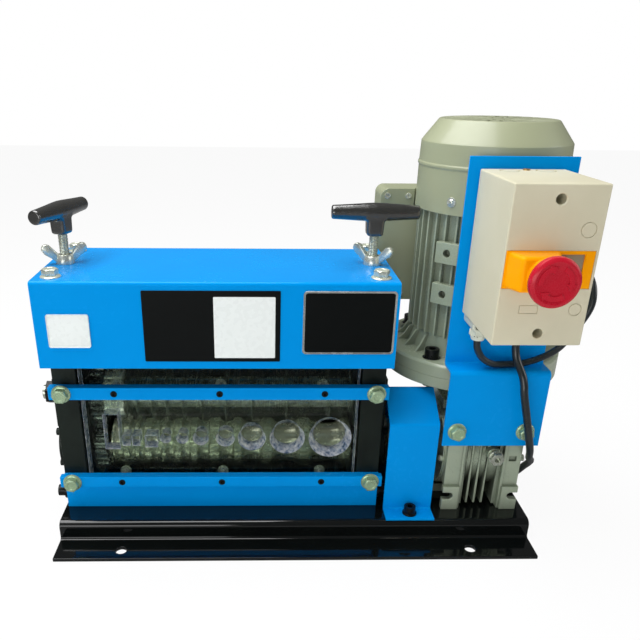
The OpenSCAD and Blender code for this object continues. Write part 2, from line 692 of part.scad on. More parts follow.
module shaft_bearings() {
    color([0.75, 0.76, 0.78]) {
        for (x = [-plate_out, plate_out - bearing_w])
            x_bearing(head_x + x, bearing_w, journal_r + fit, bearing_r, axis_y, low_z);
        for (x = [-36, 22]) x_bearing(gear_x + x, 14, 17 + fit, 31, axis_y, low_z);
        z_bearing(base_h + 8, 12, 8.5 + fit, 20, worm_y);
        z_bearing(housing_top - 14, 13, 15 + fit, 27.5, worm_y);
        z_bearing(joint_z + 20, 14, 10 + fit, 23.5, worm_y);
        z_bearing(fan_z - 16, 12, 8.5 + fit, 20, worm_y);
    }
}

module bearing_caps() {
    color([0.05, 0.05, 0.055]) for (side = [-1, 1]) {
        x0 = head_x + (side > 0 ? plate_out : -plate_out - 8);
        difference() {
            union() {
                x_bar(x0, x0 + 8, 33, axis_y, low_z);
                for (a = [45:90:315]) x_bar(side > 0 ? x0 + 8 : x0 - 4, side > 0 ? x0 + 12 : x0, 4.2,
                    axis_y + 28 * cos(a), low_z + 28 * sin(a), 32);
            }
            if (side > 0) x_bar(x0 - 1, x0 + 9, journal_r + 0.8, axis_y, low_z);
        }
    }
}

// Pressure screws and handles

module pressure_screw(side) {
    color([0.72, 0.73, 0.72]) translate([head_x + side * screw_x, axis_y, block_top - 5.9])
        cylinder(r = screw_r, h = handle_z - 16 - block_top + 5.9);
}

module t_handle(side, turn) {
    l = handle_l / 2;
    color([0.03, 0.03, 0.035]) translate([head_x + side * screw_x, axis_y, handle_z]) {
        rotate_extrude($fn = 48) polygon([[0, -23.5], [9, -23.5], [9.8, -7.5], [8, -1], [0, -1]]);
        rotate(turn) rotate([0, 90, 0]) rotate_extrude($fn = 48) polygon([[0, -l], [3.5, -l], [5.8, -l + 1.6],
            [6.6, -l + 10], [7.9, -22], [8.5, -10], [8.7, 0], [8.5, 10], [7.9, 22], [6.6, l - 10], [5.8, l - 1.6],
            [3.5, l], [0, l]]);
    }
}

module t_screw_left() {
    pressure_screw(-1);
    t_handle(-1, handle_turn);
}

module t_screw_right() {
    pressure_screw(1);
    t_handle(1, 0);
}

module wing_nut(side, turn) {
    color([0.78, 0.79, 0.76]) translate([head_x + side * screw_x, axis_y, cover_top]) rotate(turn) difference() {
        union() {
            cylinder(r1 = 9.6, r2 = 8, h = 9);
            for (s = [0, 180]) rotate(s) translate([0, 1.8, 0]) rotate([90, 0, 0]) linear_extrude(3.6)
                polygon([[5, 1.5], [9, 2.5], [15, 8], [22, 13], [25, 17.5], [24, 21.5], [20.5, 23.5], [16, 22], [11, 14.5],
                    [5, 8.5]]);
        }
        translate([0, 0, -1]) cylinder(r = screw_r + 0.08, h = 12);
    }
}

module wing_nut_left() wing_nut(-1, 20);

module wing_nut_right() wing_nut(1, -35);

// Drive

module coupling() {
    x0 = head_x + plate_out + 13.5;
    x1 = x0 + 20;
    x2 = x1 + 11;
    x3 = gear_x - 46 - 2.5;
    color([0.5, 0.51, 0.52]) {
        difference() {
            x_bar(x0, x1, coupling_r, axis_y, low_z);
            x_bar(x0 - 1, x1 + 1, journal_r, axis_y, low_z);
        }
        for (a = [0, 120, 240]) x_sector(x1 - 1, x2 - 0.5, 14, coupling_r - 0.6, a, 39);
        difference() {
            x_bar(x2, x3, coupling_r, axis_y, low_z);
            x_bar(x2 - 1, x3 + 1, core_r, axis_y, low_z);
        }
        for (a = [60, 180, 300]) x_sector(x1 + 0.5, x2 + 1, 14, coupling_r - 0.6, a, 39);
    }
    color([0.75, 0.55, 0.08]) for (a = [30:60:330]) x_sector(x1 + 0.5, x2 - 0.5, 13, coupling_r - 1, a, 20.9);
}

module coupling_guard() {
    x0 = head_x + plate_out + 6.5;
    y0 = plate_front - 10;
    y1 = plate_back + 10;
    z = base_h + guard_t / 2;
    color([0.02, 0.3, 0.68]) difference() {
        along_x(x0, guard_w) sheet_profile([[y0 - 22, z], [y0, z], [y0, 133], [y0 + 42, 158], [y1, 118], [y1, z],
            [y1 + 20, z]], guard_t, 3);
        for (p = guard_screws) translate([p.x, p.y, base_h - 1]) cylinder(r = 4.2, h = 6);
    }
}

// Gearbox

module lug_slots() {
    for (s = [-1, 1], z = [base_h + 18, base_h + 102]) {
        y_bar(feet_y - 1, feet_y + 8, 4.25, gear_x + s * feet_x, z);
        translate([gear_x + (s > 0 ? feet_x : -feet_x - 20), feet_y - 1, z - 4.25]) cube([20, 9, 8.5]);
    }
}

module gearbox_housing() {
    w = housing_w / 2;
    z0 = base_h;
    deep = housing_back - feet_y - 38;
    color([0.62, 0.67, 0.6]) difference() {
        union() {
            x_bar(gear_x - w, gear_x + w, 51, axis_y, low_z, 96);
            for (z = [z0, housing_top - 10.5]) translate([gear_x - w, feet_y + 38, z]) cube([housing_w, deep, 10.5]);
            translate([gear_x, worm_y, z0]) cylinder(r = 33, h = 120, $fn = 64);
            translate([gear_x - 36, worm_y, z0]) cube([72, housing_back - worm_y - 4, 120]);
            for (s = [-1, 1]) {
                for (z = [z0, housing_top - 30]) translate([gear_x + (s > 0 ? 24 : -w), feet_y, z]) cube([w - 24, 7, 30]);
                translate([gear_x + (s > 0 ? 24 : -w + 1), feet_y + 4, z0 + 30]) cube([w - 25, 40, 60]);
                translate([gear_x + (s > 0 ? 21.5 : -24.5), feet_y + 3, z0]) cube([3, 50, 120]);
                translate([gear_x + (s > 0 ? 17.5 : -21.5), feet_y + 9, z0 + 2]) cube([4, 50, 116]);
            }
            for (x = [-13, -4.5, 4]) translate([gear_x + x, feet_y + 8, z0 + 4]) cube([2.6, 46, 112]);
            y_bar(feet_y + 1, feet_y + 30, 7.6, gear_x + 9.5, low_z + 11);
            for (z = [50:10:120]) translate([gear_x - 40, worm_y + 10, z]) cube([80, 20, 3]);
        }
        x_bar(gear_x - w - 1, gear_x + w + 1, 44.4, axis_y, low_z, 96);
        translate([gear_x, worm_y, z0 + 8]) cylinder(r = 20, h = 200, $fn = 64);
        translate([gear_x, worm_y, housing_top - 14]) cylinder(r = 27.5, h = 20, $fn = 64);
        lug_slots();
        y_bar(feet_y, feet_y + 12, 4.5, gear_x + 9.5, low_z + 11);
        translate([gear_x + 28, feet_y + 3, low_z + 1]) cube([8, 4, 6]);
        for (s = [-1, 1], a = [30:60:330]) x_bar(s > 0 ? gear_x + 36 : gear_x - w - 1, s > 0 ? gear_x + w + 1 : gear_x - 36,
            1.5, axis_y - 46.4 * sin(a), low_z + 46.4 * cos(a), 24);
        for (p = box_screws) translate([p.x, p.y, z0 - 1]) cylinder(r = 4, h = 9.5);
    }
}

module gearbox_side_covers() {
    w = housing_w / 2;
    color([0.64, 0.68, 0.62]) for (s = [-1, 1]) difference() {
        union() {
            x_bar(s > 0 ? gear_x + 22 : gear_x - w, s > 0 ? gear_x + w : gear_x - 22, 44.4, axis_y, low_z, 96);
            x_bar(s > 0 ? gear_x + w : gear_x - w - 1.5, s > 0 ? gear_x + w + 1.5 : gear_x - w, 49.5, axis_y, low_z, 96);
            x_bar(s > 0 ? gear_x + w : gear_x - 46, s > 0 ? gear_x + 46 : gear_x - w, 25, axis_y, low_z, 64);
            for (a = [30:60:330]) x_bar(s > 0 ? gear_x + w : gear_x - w - 4, s > 0 ? gear_x + w + 4 : gear_x - w, 3.6,
                axis_y - 46.4 * sin(a), low_z + 46.4 * cos(a), 32);
        }
        x_bar(s > 0 ? gear_x + 20 : gear_x - 36, s > 0 ? gear_x + 36 : gear_x - 20, 31, axis_y, low_z, 64);
        x_bar(gear_x - 60, gear_x + 60, 18, axis_y, low_z);
        for (a = [30:60:330]) x_bar(gear_x - 60, gear_x + 60, 1.5, axis_y - 46.4 * sin(a), low_z + 46.4 * cos(a), 24);
    }
}

module gearbox_plugs() {
    color([0.5, 0.52, 0.46]) translate([gear_x + 9.5, feet_y, low_z + 11]) rotate([90, 0, 0]) difference() {
        union() {
            translate([0, 0, -11]) cylinder(r = 4.5, h = 11);
            translate([0, 0, -1]) cylinder(r = 6.2, h = 5);
            translate([0, 0, 4]) cylinder(r = 8, h = 1.4);
            translate([0, 0, 5.4]) cylinder(r = 7.6, h = 5.6, $fn = 6);
        }
        translate([0, 0, 7]) cylinder(r = 3, h = 6);
    }
}

module gearbox_flange() {
    color([0.5, 0.54, 0.5]) translate([gear_x, worm_y, 0]) difference() {
        union() {
            translate([0, 0, joint_z - 12.5]) cylinder(r = flange_r, h = 12.5, $fn = 96);
            translate([0, 0, housing_top]) cylinder(r1 = 38, r2 = 58, h = joint_z - 12 - housing_top, $fn = 96);
            translate([-housing_w / 2, -34.5, housing_top]) cube([housing_w, 68, 7]);
        }
        translate([0, 0, housing_top - 1]) cylinder(r = 29, h = joint_z, $fn = 64);
        translate([0, 0, joint_z - 4]) cylinder(r = 65, h = 10, $fn = 96);
        for (a = [45:90:315]) rotate(a) translate([flange_bolt_r, 0, joint_z - 20]) cylinder(r = 5.5, h = 30);
    }
}

module worm_shaft() {
    color([0.55, 0.56, 0.57]) translate([gear_x, worm_y, 0]) difference() {
        union() {
            translate([0, 0, base_h + 8.5]) cylinder(r = 8.5, h = 90);
            for (z = [low_z - 24:8:low_z + 24]) translate([0, 0, z - 2]) cylinder(r1 = 7.6, r2 = 8.6, h = 4);
            translate([0, 0, housing_top - 23]) cylinder(r = 15, h = 40);
        }
        translate([0, 0, housing_top - 18]) cylinder(r = 9.5, h = 60);
    }
}

module worm_wheel() {
    color([0.75, 0.58, 0.28]) translate([gear_x - 12, axis_y, low_z]) rotate([4.5, 0, 0]) rotate([90, 0, 90])
        linear_extrude(24) difference() {
            polygon([for (i = [0:39]) each [for (p = [[38.2, -2.6], [41, -1.6], [41, 1.6], [38.2, 2.6]])
                p[0] * [cos(i * 9 + p[1]), sin(i * 9 + p[1])]]]);
            circle(r = 15.5, $fn = 64);
        }
    color([0.6, 0.6, 0.6]) difference() {
        x_bar(gear_x - 36, gear_x + 36, 17, axis_y, low_z);
        x_bar(gear_x - 40, gear_x + 40, core_r, axis_y, low_z);
    }
}

module output_shaft() {
    color([0.68, 0.69, 0.7]) x_bar(head_x + plate_out + 45, gear_x + 44, core_r, axis_y, low_z);
}

// Motor

module motor_end_shield() {
    color([0.6, 0.63, 0.54]) translate([gear_x, worm_y, 0]) difference() {
        union() {
            translate([0, 0, joint_z]) cylinder(r = flange_r, h = 12, $fn = 96);
            translate([0, 0, joint_z + 12]) cylinder(r1 = flange_r, r2 = flange_r - 2.5, h = 2.5, $fn = 96);
            translate([0, 0, joint_z - 3.6]) cylinder(r = 64.9, h = 4, $fn = 96);
            translate([0, 0, joint_z + 14.5]) cylinder(r1 = 73, r2 = 66, h = motor_z - joint_z - 14.5, $fn = 96);
            for (a = [0:15:345]) if (a % 90 != 45) rotate(a) translate([0, 1.4, 0]) rotate([90, 0, 0])
                linear_extrude(2.8) polygon([[60, joint_z + 12], [88, joint_z + 12], [84, joint_z + 15.5], [78, joint_z + 22],
                    [72, motor_z - 3], [60, motor_z - 1]]);
        }
        translate([0, 0, joint_z - 5]) cylinder(r = 14, h = 60, $fn = 64);
        translate([0, 0, joint_z + 20]) cylinder(r = 23.5, h = 60, $fn = 64);
        for (a = [45:90:315]) rotate(a) translate([flange_bolt_r, 0, 0]) {
            translate([0, 0, joint_z - 5]) cylinder(r = 5.5, h = 30);
            translate([0, 0, joint_z + 13]) cylinder(r = 10, h = 40);
        }
    }
}

module flange_bolts() {
    color([0.04, 0.04, 0.045]) translate([gear_x, worm_y, 0]) for (a = [45:90:315]) rotate(a)
        translate([flange_bolt_r, 0, joint_z + 13]) {
            cylinder(r = 9.5, h = 1.6);
            translate([0, 0, 1.6]) socket_screw(5, 8, 10, 32);
            translate([0, 0, -30.5]) cylinder(r = 8.5 / cos(30), h = 5, $fn = 6);
        }
}

module motor_housing() {
    h = fan_z - motor_z;
    color([0.6, 0.63, 0.54]) translate([gear_x, worm_y, 0]) difference() {
        union() {
            translate([0, 0, motor_z]) linear_extrude(h) union() {
                circle(r = motor_r - 5.5, $fn = 96);
                for (i = [0:fins - 1]) rotate(i * 360 / fins) translate([motor_r - 7, -1.2]) square([7, 2.4]);
            }
            for (a = [226, 314], z = [262, 306]) rotate(a) translate([motor_r - 10, -13, z - 11]) cube([15, 26, 22]);
        }
        translate([0, 0, motor_z - 1]) cylinder(r = 58, h = h - 17, $fn = 96);
        translate([0, 0, fan_z - 19]) cylinder(r = 20, h = 15, $fn = 64);
        translate([0, 0, fan_z - 6]) cylinder(r = 11, h = 10, $fn = 48);
        for (a = [226, 314], z = [262, 306]) rotate(a) translate([motor_r - 3, 0, z]) rotate([0, 90, 0])
            cylinder(r = 4, h = 20);
    }
}

module motor_rotor() {
    color([0.5, 0.5, 0.52]) translate([gear_x, worm_y, 0]) {
        translate([0, 0, housing_top - 15]) cylinder(r = 9.5, h = joint_z - housing_top + 34);
        translate([0, 0, joint_z + 19]) cylinder(r = 10, h = 40);
        translate([0, 0, motor_z + 22]) cylinder(r = 50, h = 88, $fn = 64);
        translate([0, 0, motor_z + 110]) cylinder(r = 8.5, h = fan_z - motor_z - 110 + 34);
    }
}

module cooling_fan() {
    color([0.05, 0.05, 0.055]) translate([gear_x, worm_y, fan_z + 12]) difference() {
        union() {
            cylinder(r = 15, h = 20);
            cylinder(r = 64, h = 2.5, $fn = 64);
            for (a = [0:40:320]) rotate(a) translate([12, -1, 0]) cube([51, 2, 24]);
        }
        translate([0, 0, -1]) cylinder(r = 8.5, h = 30);
    }
}

module fan_cover() {
    t = 1.5;
    shoulder = fan_top - 20;
    color([0.6, 0.63, 0.54]) translate([gear_x, worm_y, 0]) difference() {
        union() {
            rotate_extrude($fn = 96) polygon([[fan_r - t, fan_z - 3], [fan_r, fan_z - 3], [fan_r, fan_z + 40],
                [fan_r + 1, fan_z + 41.5], [fan_r + 1, fan_z + 43.5], [fan_r, fan_z + 45], [fan_r - 0.6, shoulder - 2],
                [fan_r - 2, shoulder], [61, fan_top - 1], [59.5, fan_top], [0, fan_top], [0, fan_top - t],
                [59, fan_top - t], [fan_r - 3.5, shoulder - 1.2], [fan_r - t - 0.6, shoulder - 3]]);
            for (a = fan_screw_a) rotate(a) translate([66, -4, fan_z]) cube([fan_r - t - 65.5, 8, 16]);
        }
        for (a = [0:15:345]) rotate(a) {
            translate([33, -2, fan_top - 4]) cube([21, 4, 8]);
            if (a % 30 == 0) translate([14, -1.8, fan_top - 4]) cube([14, 3.6, 8]);
        }
        for (a = fan_screw_a) rotate(a) translate([60, 0, fan_z + 10]) rotate([0, 90, 0]) cylinder(r = 2, h = 30);
    }
}

module capacitor_box() {
    color([0.6, 0.63, 0.54]) difference() {
        union() {
            translate([capacitor_x + capacitor_rim, worm_y + 74, capacitor_z + capacitor_rim]) rotate([90, 0, 0])
                rounded_block([capacitor_w - 2 * capacitor_rim, capacitor_h - 2 * capacitor_rim, 44.1], 9);
            translate([capacitor_x, worm_y + 30, capacitor_z]) rotate([90, 0, 0])
                rounded_block([capacitor_w, capacitor_h, capacitor_lid_t], 10);
        }
        translate([gear_x, worm_y, 200]) cylinder(r = motor_r + 0.02, h = 148.05, $fn = 96);
        translate([gear_x, worm_y, 340]) cylinder(r = fan_r + 1.4, h = 60, $fn = 96);
        for (p = lid_screws) y_bar(worm_y + 23, worm_y + 38, 2, p.x, p.y);
    }
}

module terminal_box() {
    color([0.6, 0.63, 0.54]) difference() {
        translate([gear_x + 58, worm_y - 30, 258]) rounded_block([52, 60, 62], 6);
        translate([gear_x, worm_y, 200]) cylinder(r = motor_r + 0.02, h = 200, $fn = 96);
        y_bar(worm_y - 31, worm_y - 21, 7, gear_x + 88, 292);
    }
}

// Switch

module switch_bracket() {
    t = bracket_t;
    x0 = gear_x + 1.5 - bracket_w / 2;
    color([0.02, 0.3, 0.66]) difference() {
        along_x(x0, bracket_w) sheet_profile([[feet_y - t / 2, bracket_z], [feet_y - t / 2, ledge_z + t / 2],
            [upright_y + t / 2, ledge_z + t / 2], [upright_y + t / 2, bracket_top]], t, t / 2 + 2);
        for (s = [-1, 1]) y_bar(feet_y - 10, feet_y + 1, 4.2, gear_x + s * (feet_x + 1.8), base_h + 102);
        for (x = [-25, 25], z = [272, 376]) y_bar(upright_y - 1, upright_y + 10, 2, box_x + x, z);
    }
}

module switch_back_shell() {
    w = box_w - 6 - 2 * gap;
    h = box_h + shell_drop - 3 - gap;
    d = upright_y - shell_y;
    color([0.74, 0.76, 0.68]) {
        difference() {
            translate([box_x - w / 2, upright_y, box_z - shell_drop]) rotate([90, 0, 0]) rounded_block([w, h, d], 6);
            translate([box_x - w / 2 + 3, upright_y - 3, box_z - shell_drop + 3]) rotate([90, 0, 0])
                rounded_block([w - 6, h - 6, d], 3);
            for (p = [gland_left, gland_mid]) translate([p.x, p.y, box_z - shell_drop - 1])
                cylinder(r = 7, h = 5, $fn = 48);
            for (x = [-25, 25], z = [272, 376]) y_bar(upright_y - 4, upright_y + 1, 2, box_x + x, z);
        }
        for (z = [11.5, 128.5]) difference() {
            y_bar(upright_y - 21, upright_y - 3, 5, box_x, box_z + z);
            y_bar(upright_y - 22, upright_y - 3.5, 2, box_x, box_z + z);
        }
    }
}

module switch_front_cover() {
    d = upright_y - 2 - box_front;
    t = 3;
    x0 = box_x - box_w / 2;
    color([0.78, 0.77, 0.7]) difference() {
        translate([x0, upright_y - 2, box_z]) rotate([90, 0, 0]) rounded_block([box_w, box_h, d], 2.5);
        translate([x0 + t, box_front + t, box_z + t]) cube([box_w - 2 * t, d, box_h - 2 * t]);
        translate([x0 + t, shell_y - 0.5, box_z - 1]) cube([box_w - 2 * t, 40, t + 2]);
        translate([x0 + 1.2, box_front - 1, box_z + 52.5]) cube([box_w - 4, t + 2, 33.5]);
        for (z = [11.5, 128.5]) y_bar(box_front - 1, box_front + t + 1, 4.4, box_x, box_z + z);
        for (p = [[27.5, 103.5, 6.6], [29, 34, 5.6]]) difference() {
            y_bar(box_front - 1, box_front + 0.4, p[2], box_x + p.x, box_z + p.y);
            y_bar(box_front - 2, box_front + 1, p[2] - 0.6, box_x + p.x, box_z + p.y);
        }
        translate([box_x - 21, box_front - 1, box_z + 30]) difference() {
            cube([17, 1.4, 8]);
            translate([0.6, -1, 0.6]) cube([15.8, 4, 6.8]);
        }
    }
    color([0.78, 0.77, 0.7]) for (z = [11.5, 128.5]) difference() {
        y_bar(box_front + t, box_front + 22, 6, box_x, box_z + z);
        y_bar(box_front, box_front + 21, 4.4, box_x, box_z + z);
        y_bar(box_front + 20, box_front + 23, 2, box_x, box_z + z);
    }
}

module estop_housing() {
    x0 = box_x - box_w / 2 + 1.5;
    z0 = box_z + 52.8;
    w = box_w - 4.6;
    color([0.95, 0.6, 0.02]) difference() {
        union() {
            translate([x0, box_front + 0.2, z0]) cube([w, 3.7, 32.9]);
            translate([x0 + 2, box_front + 3, z0 - 4]) cube([w - 4, 2.5, 40.9]);
            hull() {
                translate([x0 + 1, box_front, z0 + 1]) cube([46, 1, 30.9]);
                translate([x0 + 9, box_front - 19, z0 + 1.5]) cube([30, 1, 29.9]);
            }
            y_bar(box_front - 24, box_front, 15.2, box_x - 10, z0 + 16);
        }
        translate([x0 + 49, box_front - 1, z0 + 3.2]) cube([23, 4, 26.5]);
        y_bar(box_front - 30, box_front - 8, 7.6, box_x - 10, z0 + 16);
        translate([x0 + 55, box_front - 1, z0 + 7]) cube([12, 10, 10]);
    }
}

module estop_button() {
    z = box_z + 52.8 + 16;
    color([0.72, 0.05, 0.16]) {
        difference() {
            translate([box_x - 10, box_front - 42, z]) rotate([-90, 0, 0]) rotate_extrude($fn = 72)
                polygon([[0, 0.8], [10, 0.4], [17, 0], [19.8, 0.8], [mushroom_r, 3.4], [mushroom_r, 7], [19.5, 10.5],
                    [14, 12], [0, 12]]);
            translate([box_x - 10, box_front - 41.2, z]) rotate([90, 0, 0]) linear_extrude(3)
                polygon(concat([for (i = [0:8]) 16.4 * [cos(95 + i * 10), sin(95 + i * 10)]],
                    [for (i = [8:-1:0]) 12.6 * [cos(95 + i * 10), sin(95 + i * 10)]]));
        }
        y_bar(box_front - 31, box_front - 16, 7.3, box_x - 10, z);
    }
}

module start_button() {
    x0 = box_x - box_w / 2 + 1.5;
    z0 = box_z + 52.8;
    color([0.08, 0.08, 0.085]) {
        translate([x0 + 55.4, box_front - 0.5, z0 + 7.4]) cube([11.2, 6.1, 9.2]);
        translate([x0 + 53, box_front + 5.5, z0 + 5]) cube([16, 2.5, 14]);
    }
}

module gland(r) {
    difference() {
        union() {
            translate([0, 0, -6]) cylinder(r = 9.4, h = 6, $fn = 6);
            translate([0, 0, -12]) cylinder(r1 = 6.2, r2 = 8.6, h = 6.01);
            cylinder(r = 6.9, h = 8);
        }
        translate([0, 0, -16]) cylinder(r = r + 0.3, h = 30);
    }
}

module cable_glands() {
    color([0.7, 0.73, 0.66]) {
        translate([gland_left.x, gland_left.y, box_z - shell_drop]) gland(lead_r);
        translate([gland_mid.x, gland_mid.y, box_z - shell_drop]) gland(cord_r);
        translate([gear_x + 88, worm_y - 30, 292]) rotate([-90, 0, 0]) gland(lead_r);
    }
}

// Cords

lead_points = [[gland_left.x, gland_left.y, box_z - 8], [gland_left.x, gland_left.y, box_z - 25],
    [gland_left.x + 1.7, gland_left.y + 0.3, box_z - 34.6], [gland_left.x + 8.2, gland_left.y + 1.2, box_z - 44.8],
    [gland_left.x + 18.4, gland_left.y + 2.6, box_z - 51.3], [gland_left.x + 30, gland_left.y + 4, box_z - 53],
    [gland_left.x + 58, gland_left.y + 5, box_z - 51], [gland_left.x + 86, gland_left.y + 5, box_z - 37],
    [gland_left.x + 103, gland_left.y + 5, box_z - 12], [gear_x + 86, gland_left.y + 5.5, box_z + 8],
    [gear_x + 88, gland_left.y + 9.9, 277.5], [gear_x + 88, gland_left.y + 20.5, 288.1],
    [gear_x + 88, worm_y - 71, 292], [gear_x + 88, worm_y - 55, 292], [gear_x + 88, worm_y - 41, 292],
    [gear_x + 88, worm_y - 24, 292]];

module motor_lead() {
    color([0.06, 0.055, 0.05]) swept_tube(curve(lead_points, 3), lead_r - 0.02);
}

cord_points = [[gland_mid.x, gland_mid.y, box_z - 8], [gland_mid.x, gland_mid.y, box_z - 26],
    [gland_mid.x + 0.5, gland_mid.y - 1.1, box_z - 36], [gland_mid.x + 2, gland_mid.y - 4.2, box_z - 44.5],
    [gland_mid.x + 4.5, gland_mid.y - 9.5, box_z - 52], [gland_mid.x + 7, gland_mid.y - 14.7, box_z - 59.5],
    [gland_mid.x + 8.5, gland_mid.y - 18, box_z - 68], [gland_mid.x + 9.6, feet_y - 16, box_z - 78],
    [gland_mid.x + 16, feet_y - 19, box_z - 106], [gland_mid.x + 21, feet_y - 19.5, box_z - 126],
    [gland_mid.x + 27, feet_y - 14, box_z - 144], [gland_mid.x + 32, feet_y - 4, box_z - 158],
    [gland_mid.x + 41.5, feet_y + 12, box_z - 172], [gland_mid.x + 45, feet_y + 32, box_z - 190],
    [gear_x + 60, feet_y + 58, base_h + 14], [gear_x + 60, feet_y + 82, base_h + 6],
    [gear_x + 54, worm_y + 34, base_h + cord_r + 0.5], [gear_x + 30, base_d / 2 - 26, base_h + cord_r + 0.4],
    [gear_x - 10, base_d / 2 + 2, base_h + cord_r], [gear_x - 50, base_d / 2 + 40, 12],
    [gear_x - 110, base_d / 2 + 62, cord_r + 0.1], [30, base_d / 2 + 70, cord_r + 0.1],
    [-40, base_d / 2 + 80, cord_r + 0.1], [-90, base_d / 2 + 67.5, cord_r + 0.1],
    [-116, base_d / 2 + 61.1, cord_r + 0.1]];
coil_centre = [-150, base_d / 2 + 58 + coil_r + cord_r];
plug_place = [-258, base_d / 2 + 74, cord_r + 6];
tail_points = [[-179, base_d / 2 + 57.4, 9.7], [-200, base_d / 2 + 58.4, 6.6],
    [-222, base_d / 2 + 62, cord_r + 0.8], plug_place];

module supply_cord() {
    color([0.06, 0.055, 0.05]) {
        swept_tube(curve(cord_points, 4), cord_r - 0.02);
        swept_tube(curve(tail_points, 5), cord_r - 0.02);
    }
}

module cord_coil() {
    color([0.06, 0.055, 0.05]) translate([coil_centre.x, coil_centre.y, 0]) rotate_extrude($fn = 64)
        polygon([[coil_r - 7.6, 2], [coil_r - 6, 0.1], [coil_r + 6, 0.1], [coil_r + 7.6, 2], [coil_r + 8, 4], [coil_r + 6.8, 8],
            [coil_r + 8, 12], [coil_r + 6, 15.9], [coil_r - 6, 15.9], [coil_r - 8, 12], [coil_r - 6.8, 8], [coil_r - 8, 4]]);
}

module plug() {
    color([0.05, 0.05, 0.055]) translate(plug_place) rotate(161) {
        difference() {
            union() {
                rotate([0, 90, 0]) cylinder(r1 = 6, r2 = 9, h = 22, $fn = 32);
                translate([20, -17, -9.9]) cube([26, 34, 19.8]);
            }
            translate([-1, 0, 0]) rotate([0, 90, 0]) cylinder(r = cord_r, h = 8, $fn = 32);
        }
    }
    color([0.8, 0.7, 0.4]) translate(plug_place) rotate(161)
        for (y = [-9.5, 9.5]) translate([46, y, 0]) rotate([0, 90, 0]) cylinder(r = 2.4, h = 19);
}

// Plates

module label_plates() {
    y = axis_y - cover_depth / 2;
    color([0.88, 0.88, 0.88]) translate([head_x - 165, y - 0.8, plates_z + 23]) cube([41, 0.8, 34]);
    color([0.02, 0.02, 0.02]) translate([head_x - 72, y - 0.8, plates_z + 8]) cube([134, 0.8, 73]);
    color([0.88, 0.88, 0.88]) translate([head_x - 3, y - 1.2, plates_z + 12]) cube([60, 0.4, 63]);
    color([0.7, 0.7, 0.7]) translate([head_x + 84, y - 0.8, plates_z + 16]) cube([91, 0.8, 65]);
}

base_channel();
side_plate_left();
side_plate_right();
head_top_plate();
top_cover();
upper_front_bar();
lower_front_bar();
lower_front_panel();
rear_panel();
guide_panel();
tie_rods();
hex_flange_bolts();
socket_screws();
small_screws();
bearing_blocks();
blade_shaft_bearings();
block_springs();
blade_shaft();
slitting_blades();
blade_spacers();
upper_gear();
blade_shaft_nuts();
feed_roller();
lower_gear();
shaft_bearings();
bearing_caps();
t_screw_left();
t_screw_right();
wing_nut_left();
wing_nut_right();
coupling();
coupling_guard();
gearbox_housing();
gearbox_side_covers();
gearbox_plugs();
gearbox_flange();
worm_shaft();
worm_wheel();
output_shaft();
motor_end_shield();
flange_bolts();
motor_housing();
motor_rotor();
cooling_fan();
fan_cover();
capacitor_box();
terminal_box();
switch_bracket();
switch_back_shell();
switch_front_cover();
estop_housing();
estop_button();
start_button();
cable_glands();
motor_lead();
supply_cord();
cord_coil();
plug();
label_plates();
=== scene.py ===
"""Wire stripping machine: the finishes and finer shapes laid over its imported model.

Metres, Z up, X along the base; the operator stands on the -Y side. Shapes are written in millimetres and
scaled by MM as they are made.
"""

import json
import logging
import math
from collections.abc import Callable, Iterable, Iterator
from contextlib import contextmanager
from dataclasses import dataclass
from enum import Enum

import bpy
from mathutils import Matrix, Vector

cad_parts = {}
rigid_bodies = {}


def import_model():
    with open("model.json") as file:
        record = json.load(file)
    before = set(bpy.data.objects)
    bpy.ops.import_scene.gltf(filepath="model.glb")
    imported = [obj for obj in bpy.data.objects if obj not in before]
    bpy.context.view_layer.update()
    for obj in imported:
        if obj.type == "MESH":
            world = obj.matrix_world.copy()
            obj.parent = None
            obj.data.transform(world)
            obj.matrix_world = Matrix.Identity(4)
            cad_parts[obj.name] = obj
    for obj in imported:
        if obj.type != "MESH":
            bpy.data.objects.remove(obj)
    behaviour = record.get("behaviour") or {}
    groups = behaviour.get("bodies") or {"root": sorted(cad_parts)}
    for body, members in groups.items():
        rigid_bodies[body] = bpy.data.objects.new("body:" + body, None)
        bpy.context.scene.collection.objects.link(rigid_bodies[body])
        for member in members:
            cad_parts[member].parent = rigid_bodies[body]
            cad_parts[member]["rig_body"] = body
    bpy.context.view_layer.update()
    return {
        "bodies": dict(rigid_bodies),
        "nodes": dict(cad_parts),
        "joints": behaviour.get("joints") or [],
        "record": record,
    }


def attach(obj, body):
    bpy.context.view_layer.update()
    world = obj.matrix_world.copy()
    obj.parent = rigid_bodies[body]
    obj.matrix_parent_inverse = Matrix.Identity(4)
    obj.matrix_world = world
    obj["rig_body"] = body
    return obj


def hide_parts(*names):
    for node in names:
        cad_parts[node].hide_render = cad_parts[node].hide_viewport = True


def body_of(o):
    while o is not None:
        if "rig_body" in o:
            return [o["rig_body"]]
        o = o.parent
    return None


log = logging.getLogger("wire_stripper")

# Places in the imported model, in millimetres

MM = 0.001
HEAD_X = -82.0
AXIS_Y = -33.0
ROLLER_Z = 85.0
BLADE_Z = 145.0
BAR_FRONT = -92.0
BAR_SCREW_X = (-110, 0, 110)
BAR_BOLT_X = 164.4
BAR_Z = (62.1, 169.7)
REAR_FACE = 18
REAR_BOLT_Z = (60, 180)
COVER_TOP = 293.0
COVER_FRONT = AXIS_Y - 72
COVER_BOLT_X = 161
COVER_BOLT_Y = 54
SCREW_X = 160
GEAR_X = 208.0
WORM_Y = 17.0
BRACKET_BOLT_X = 36.8
BRACKET_BOLT_Z = 127
BRACKET_FACE = -96
BOX_X = 207.5
BOX_Z = 254.0
BOX_FRONT = -169.0
BOX_BACK = -71.0
FEET_Y = -93.0
BASE_HALF = 116.0
CORD_R = 4.0
LEAD_R = 3.6

# Limits and steps of the modelling, angles in degrees unless made radians

